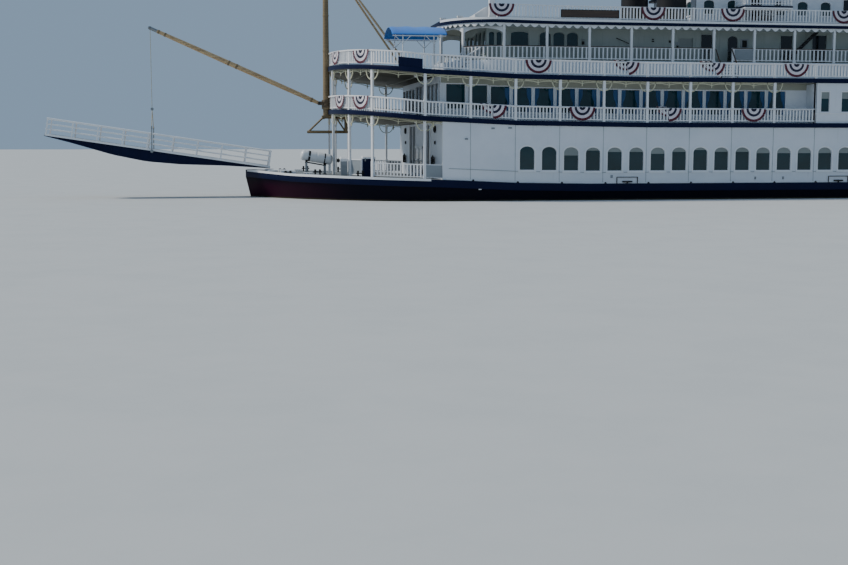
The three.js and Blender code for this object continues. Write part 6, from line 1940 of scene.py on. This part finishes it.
# Columns on the suites' wall: X, height, width, tall, proud, finish
SUITE_BOXES = [(1809, 1299, 16, 22, 12, 0), (1809, 1322, 20, 7, 14, 3), (1293, 1331, 14, 8, 7, 0),
               (1293, 1317, 16, 9, 9, 0), (1166, 1317, 14, 16, 9, 0), (1108, 1282, 12, 14, 10, 0),
               (1108, 1304, 30, 22, 3, 3), (600, 1310, 60, 66, 3, 3), (600, 1308, 36, 50, 5, 0)]
# The same columns on the main deck's side wall
SIDE_BOXES = [(2743, 624, 20, 11, 7, 5), (2563, 694, 22, 10, 6, 5), (2447, 697, 24, 10, 6, 5),
              (1738, 372, 16, 20, 6, 3), (704, 357, 10, 18, 8, 5), (498, 357, 10, 18, 8, 5)]
CHOCKS, SCUPPER_LAG, FRONT_FACE = (1628, 87, -1454, -2995), 19, MAIN_FRONT + PLATE_HALF
# Boxes of the locker on deck four: X from and to, Y from and to, height from and to, finish
WING_LOCKER = [(428, 566, 522, 568, 0.4, 54, 4), (425, 569, 519, 571, 53, 60, 0), (450, 460, 567, 573, 34, 56, 5),
               (534, 544, 567, 573, 34, 56, 5)]


def wall_box(job, face, sign, x, z, wide, tall, proud, finish):
    """A small cover on a side wall with sloping edges, so it catches light like a pressed cover."""
    rows = []
    for out, share in ((-0.5, 1), (proud * 0.7, 1), (proud, 0.78)):
        w, h, y = wide / 2 * share, tall / 2 * share, sign * (face + out)
        rows.append([(x - w, y, z - h), (x + w, y, z - h), (x + w, y, z + h), (x - w, y, z + h)])
    job.loft(rows, finish=finish)


def ceiling_lamp(job, x, y, z):
    job.turned([(0.1, 1), (15, 1), (15, -3), (12.5, -4)], (x, y, z), sides=20, finish=2)
    job.turned([(12.5, -3), (12, -7), (8, -12), (0.1, -14)], (x, y, z), sides=20, finish=1)


def fit_fittings(job, name, slot="black_paint", **edges):
    job.fit(name, "root", FITTING_FINISHES, slot, **edges)


for side, sign in SIDES:
    job = Joinery()
    for row in SUITE_BOXES:
        wall_box(job, SUITE_SIDE, sign, *row)
    y = sign * (SUITE_SIDE + 14)
    job.bar((1568, y, 1335), (1472, y, 1298), 2.6, 10)
    for x, z in ((1562, 1333), (1478, 1300)):
        job.bar((x, sign * (SUITE_SIDE - 0.5), z), (x, y, z), 2)
    fit_fittings(job, f"gallery_fittings_{side}", smooth=35)

    job = Joinery()
    foot, head = Vector((312, 0, GALLERY + 2)), Vector((56, 0, DECK4[0] - 4))
    for y in (507, 553):
        job.loft([[(at.x - 9, sign * (y - 2), at.z), (at.x + 9, sign * (y - 2), at.z),
                   (at.x + 9, sign * (y + 2), at.z), (at.x - 9, sign * (y + 2), at.z)] for at in (foot, head)])
    for k in range(1, 10):
        at = foot + (head - foot) * (k / 10)
        job.side_box(sign, at.x - 11, at.x + 11, 508, 552, at.z - 1.5, at.z + 1.5, finish=5)
    fit_fittings(job, f"roof_ladder_{side}", bevel=0.5)

    job = Joinery()
    job.side_box(sign, 586, 728, GALLERY_LINE + 4.8, GALLERY_LINE + 7.5, GALLERY + 17, GALLERY + 91, finish=3)
    job.side_box(sign, 1613, 1823, GALLERY_LINE + 1, GALLERY_LINE + 4.4, DECK4[1] + 5, DECK4[1] + 18, finish=2)
    y = sign * (SIDE_LINE - 20 + 6.5)
    job.beam([(x, y - 2, y + 2, main_top(x) + 17, main_top(x) + 94)
              for x in (FRONT_FACE + 1, COL0 - COLUMN / 2 + 1)], finish=3)
    fit_fittings(job, f"rail_boards_{side}", "white_paint", bevel=0.6)

    job = Joinery()
    for row in SIDE_BOXES:
        wall_box(job, main_face, sign, *row)
    # The scuppers are black plates where the real wall has openings: their black is painted shade in the openings.
    for x in main_seams:
        at = x - SCUPPER_LAG
        job.loft([[(at + dx, sign * (main_face + out), main_top(at) + h)
                   for dx, h in ((-9, 0.4), (9, 0.4), (3, 11), (-3, 11))] for out in (-0.5, 5)])
    for x in CHOCKS:
        z, y = main_top(x), sign * (main_face + 7)
        # The black frame round each chock stands for its recess in the wall: painted shade on the recess's edges;
        # the bitt and bar are black paint.
        for x0, x1, z0, z1 in ((-75, 75, 41, 45), (-75, -71, 1, 43), (71, 75, 1, 43)):
            job.side_box(sign, x + x0, x + x1, main_face, main_face + 6, z + z0, z + z1)
        job.turned([(0.1, 0), (5.4, 0), (5.4, 11), (0.1, 12)], (x, y, z - 0.3), sides=12)
        job.bar((x - 34, y + sign * 0.5, z + 13), (x + 34, y + sign * 0.5, z + 13), 5, 10)
    wall_box(job, HALF_BEAM - 1, sign, 2652, 294, 20, 12, 5, 2)
    fit_fittings(job, f"side_fittings_{side}", smooth=35)

    job = Joinery()
    for base in (DECK2[0], DECK3[0]):
        for x in (3318, 3040):
            ceiling_lamp(job, x, sign * 700, base + deck_rise(x) - 2.5)
    for z, r, proud in ((691, 24, 13), (600, 13, 9)):
        job.turned([(0.1, -0.5), (r, -0.5), (r, proud * 0.6), (r * 0.7, proud), (0.1, proud)],
                   (FRONT_FACE, sign * 665, z), sides=20, axis="X")
    job.turned([(0.1, 0), (13, 0), (13.5, 3), (13.5, 52), (9, 60), (4, 63), (4, 70), (0.1, 71)],
               (FRONT_FACE + 16, sign * 648, porch_sill + 90), sides=18)
    for z in (104, 138):
        job.side_box(sign, FRONT_FACE - 0.5, FRONT_FACE + 18, 632, 664, porch_sill + z, porch_sill + z + 5,
                     finish=5)
    for y in (480, 945):
        job.side_box(sign, FRONT_FACE - 0.5, FRONT_FACE + 2.5, y - 5, y + 5, porch_sill + 1,
                     main_high(MAIN_FRONT) - 2, finish=2)
    fit_fittings(job, f"porch_fittings_{side}", smooth=35)

    job = Joinery()
    for x0, x1, y0, y1, z0, z1, finish in WING_LOCKER:
        job.side_box(sign, x0, x1, y0, y1, DECK4[1] + z0, DECK4[1] + z1, finish)
    fit_fittings(job, f"wing_locker_{side}", bevel=1.0)

# %% [markdown]
# More stands on the foredeck: a short panelled rail that closes the gap between locker and column, a mooring
# winch under its white hood, low hatches with a lipped lid, and horn cleats. A real foredeck is kept clear, so
# they are few, low and painted white.

# %% Foredeck rail, winch, hatches and cleats
job = Joinery()
column = nose_point(57)
start, end = Vector((LOCKER[1] + 3, 622)), Vector((column[0] - 4, column[1] - 6))
base = main_top(start.x)
for thickness, z0, z1, finish in ((3, 14, 112, 3), (9, 10, 15, 2), (9, 111, 118, 2)):
    job.ribbon([start, end], thickness, flat(base + z0), flat(base + z1), finish=finish)
for share in (0.03, 0.97):
    job.post(*start.lerp(end, share), 9, flat(base + 0.4), flat(base + 116), finish=2)
fit_fittings(job, "foredeck_panel_rail", "white_paint", bevel=0.5)

WINCH_END, WINCH_Y = 3540, 500
# Columns of the winch's hood: X, half width, low edge, crown
HOOD_ROWS = [(3470, 12, 477, 488), (3480, 20, 474, 492), (3500, 26, 472, 498), (3534, 28, 471, 503),
             (WINCH_END, 26, 472, 501)]
DRUM = [(0.1, -1), (9, -1), (9, 5), (16, 7), (17, 9), (11, 12), (11, 17), (17, 20), (15, 22), (0.1, 23)]
job = Joinery()
job.box(3490, 3534, WINCH_Y - 22, WINCH_Y + 22, main_top(WINCH_END) + 0.4, 473, finish=5)
job.loft([[(x, WINCH_Y + half * share, low + (top - low) * up) for share, up in
           ((-1, 0), (1, 0), (1, 0.6), (0.5, 1), (-0.5, 1), (-1, 0.6))] for x, half, low, top in HOOD_ROWS],
         finish=2)
job.turned(DRUM, (WINCH_END, WINCH_Y, 478), axis="X")
fit_fittings(job, "winch_cover", "white_paint", bevel=1.2)

job = Joinery()
for x0, x1, y0, y1, tall in ((3826, 3930, 70, 230, 16), (3980, 4030, 60, 130, 11)):
    for sign in (1, -1):
        low, high = sorted((sign * y0, sign * y1))
        job.loft([[(x, y, main_top(x) + h) for x, y in
                   ((x0 + n, low + n), (x1 - n, low + n), (x1 - n, high - n), (x0 + n, high - n))]
                  for h, n in ((0.4, 0), (tall - 4, 0), (tall - 3.5, -3), (tall - 1, -3), (tall, 0))], finish=2)
for x, y in ((3990, 262), (3760, 505)):
    for sign in (1, -1):
        z = main_top(x)
        for dx in (-9, 9):
            job.turned([(0.1, 0), (5.5, 0.3), (4, 3), (4, 12), (0.1, 13)], (x + dx, sign * y, z), sides=12,
                       finish=2)
        job.bar((x - 30, sign * y, z + 13), (x + 30, sign * y, z + 13), 4, 10, finish=2)
fit_fittings(job, "foredeck_hatches_and_cleats", "white_paint", smooth=35)
print("small fittings placed")

# %% [markdown]
# The boat is shown afloat, so the plain floor lies at the waterline and hides what is under it. The floor is
# pale and slightly uneven. The light is soft: an even pale blue world lights the shaded side that faces us,
# and one broad sun from ahead and beyond picks out the surfaces that face the bow.

# %% Floor and light
FLOOR = coat("pale_studio_floor", rgb(204, 206, 206), rgb(194, 197, 198), rgb(184, 186, 186), 0.8, streaks=0.0,
             mottle=0.5, bump=0.05, shine=0.2)
floor_mesh = bpy.data.meshes.new("floor")
floor_mesh.from_pydata([(-60, -60, WATERLINE), (60, -60, WATERLINE), (60, 60, WATERLINE), (-60, 60, WATERLINE)],
                       [], [(0, 1, 2, 3)])
floor_mesh.materials.append(FLOOR)
floor = bpy.data.objects.new("floor", floor_mesh)
bpy.context.scene.collection.objects.link(floor)
world = bpy.data.worlds.new("studio")
bpy.context.scene.world = world
world.use_nodes = True
dial(world.node_tree.nodes["Background"], Color=(0.46, 0.66, 0.91, 1), Strength=0.5)
sun = bpy.data.objects.new("sun", bpy.data.lights.new("sun", "SUN"))
sun.data.energy = 3.0
sun.data.angle = 0.15
sun.data.color = (1.0, 0.95, 0.86)
sun.rotation_euler = (math.radians(50), 0, math.radians(78))
bpy.context.scene.collection.objects.link(sun)
print("world and sun set")
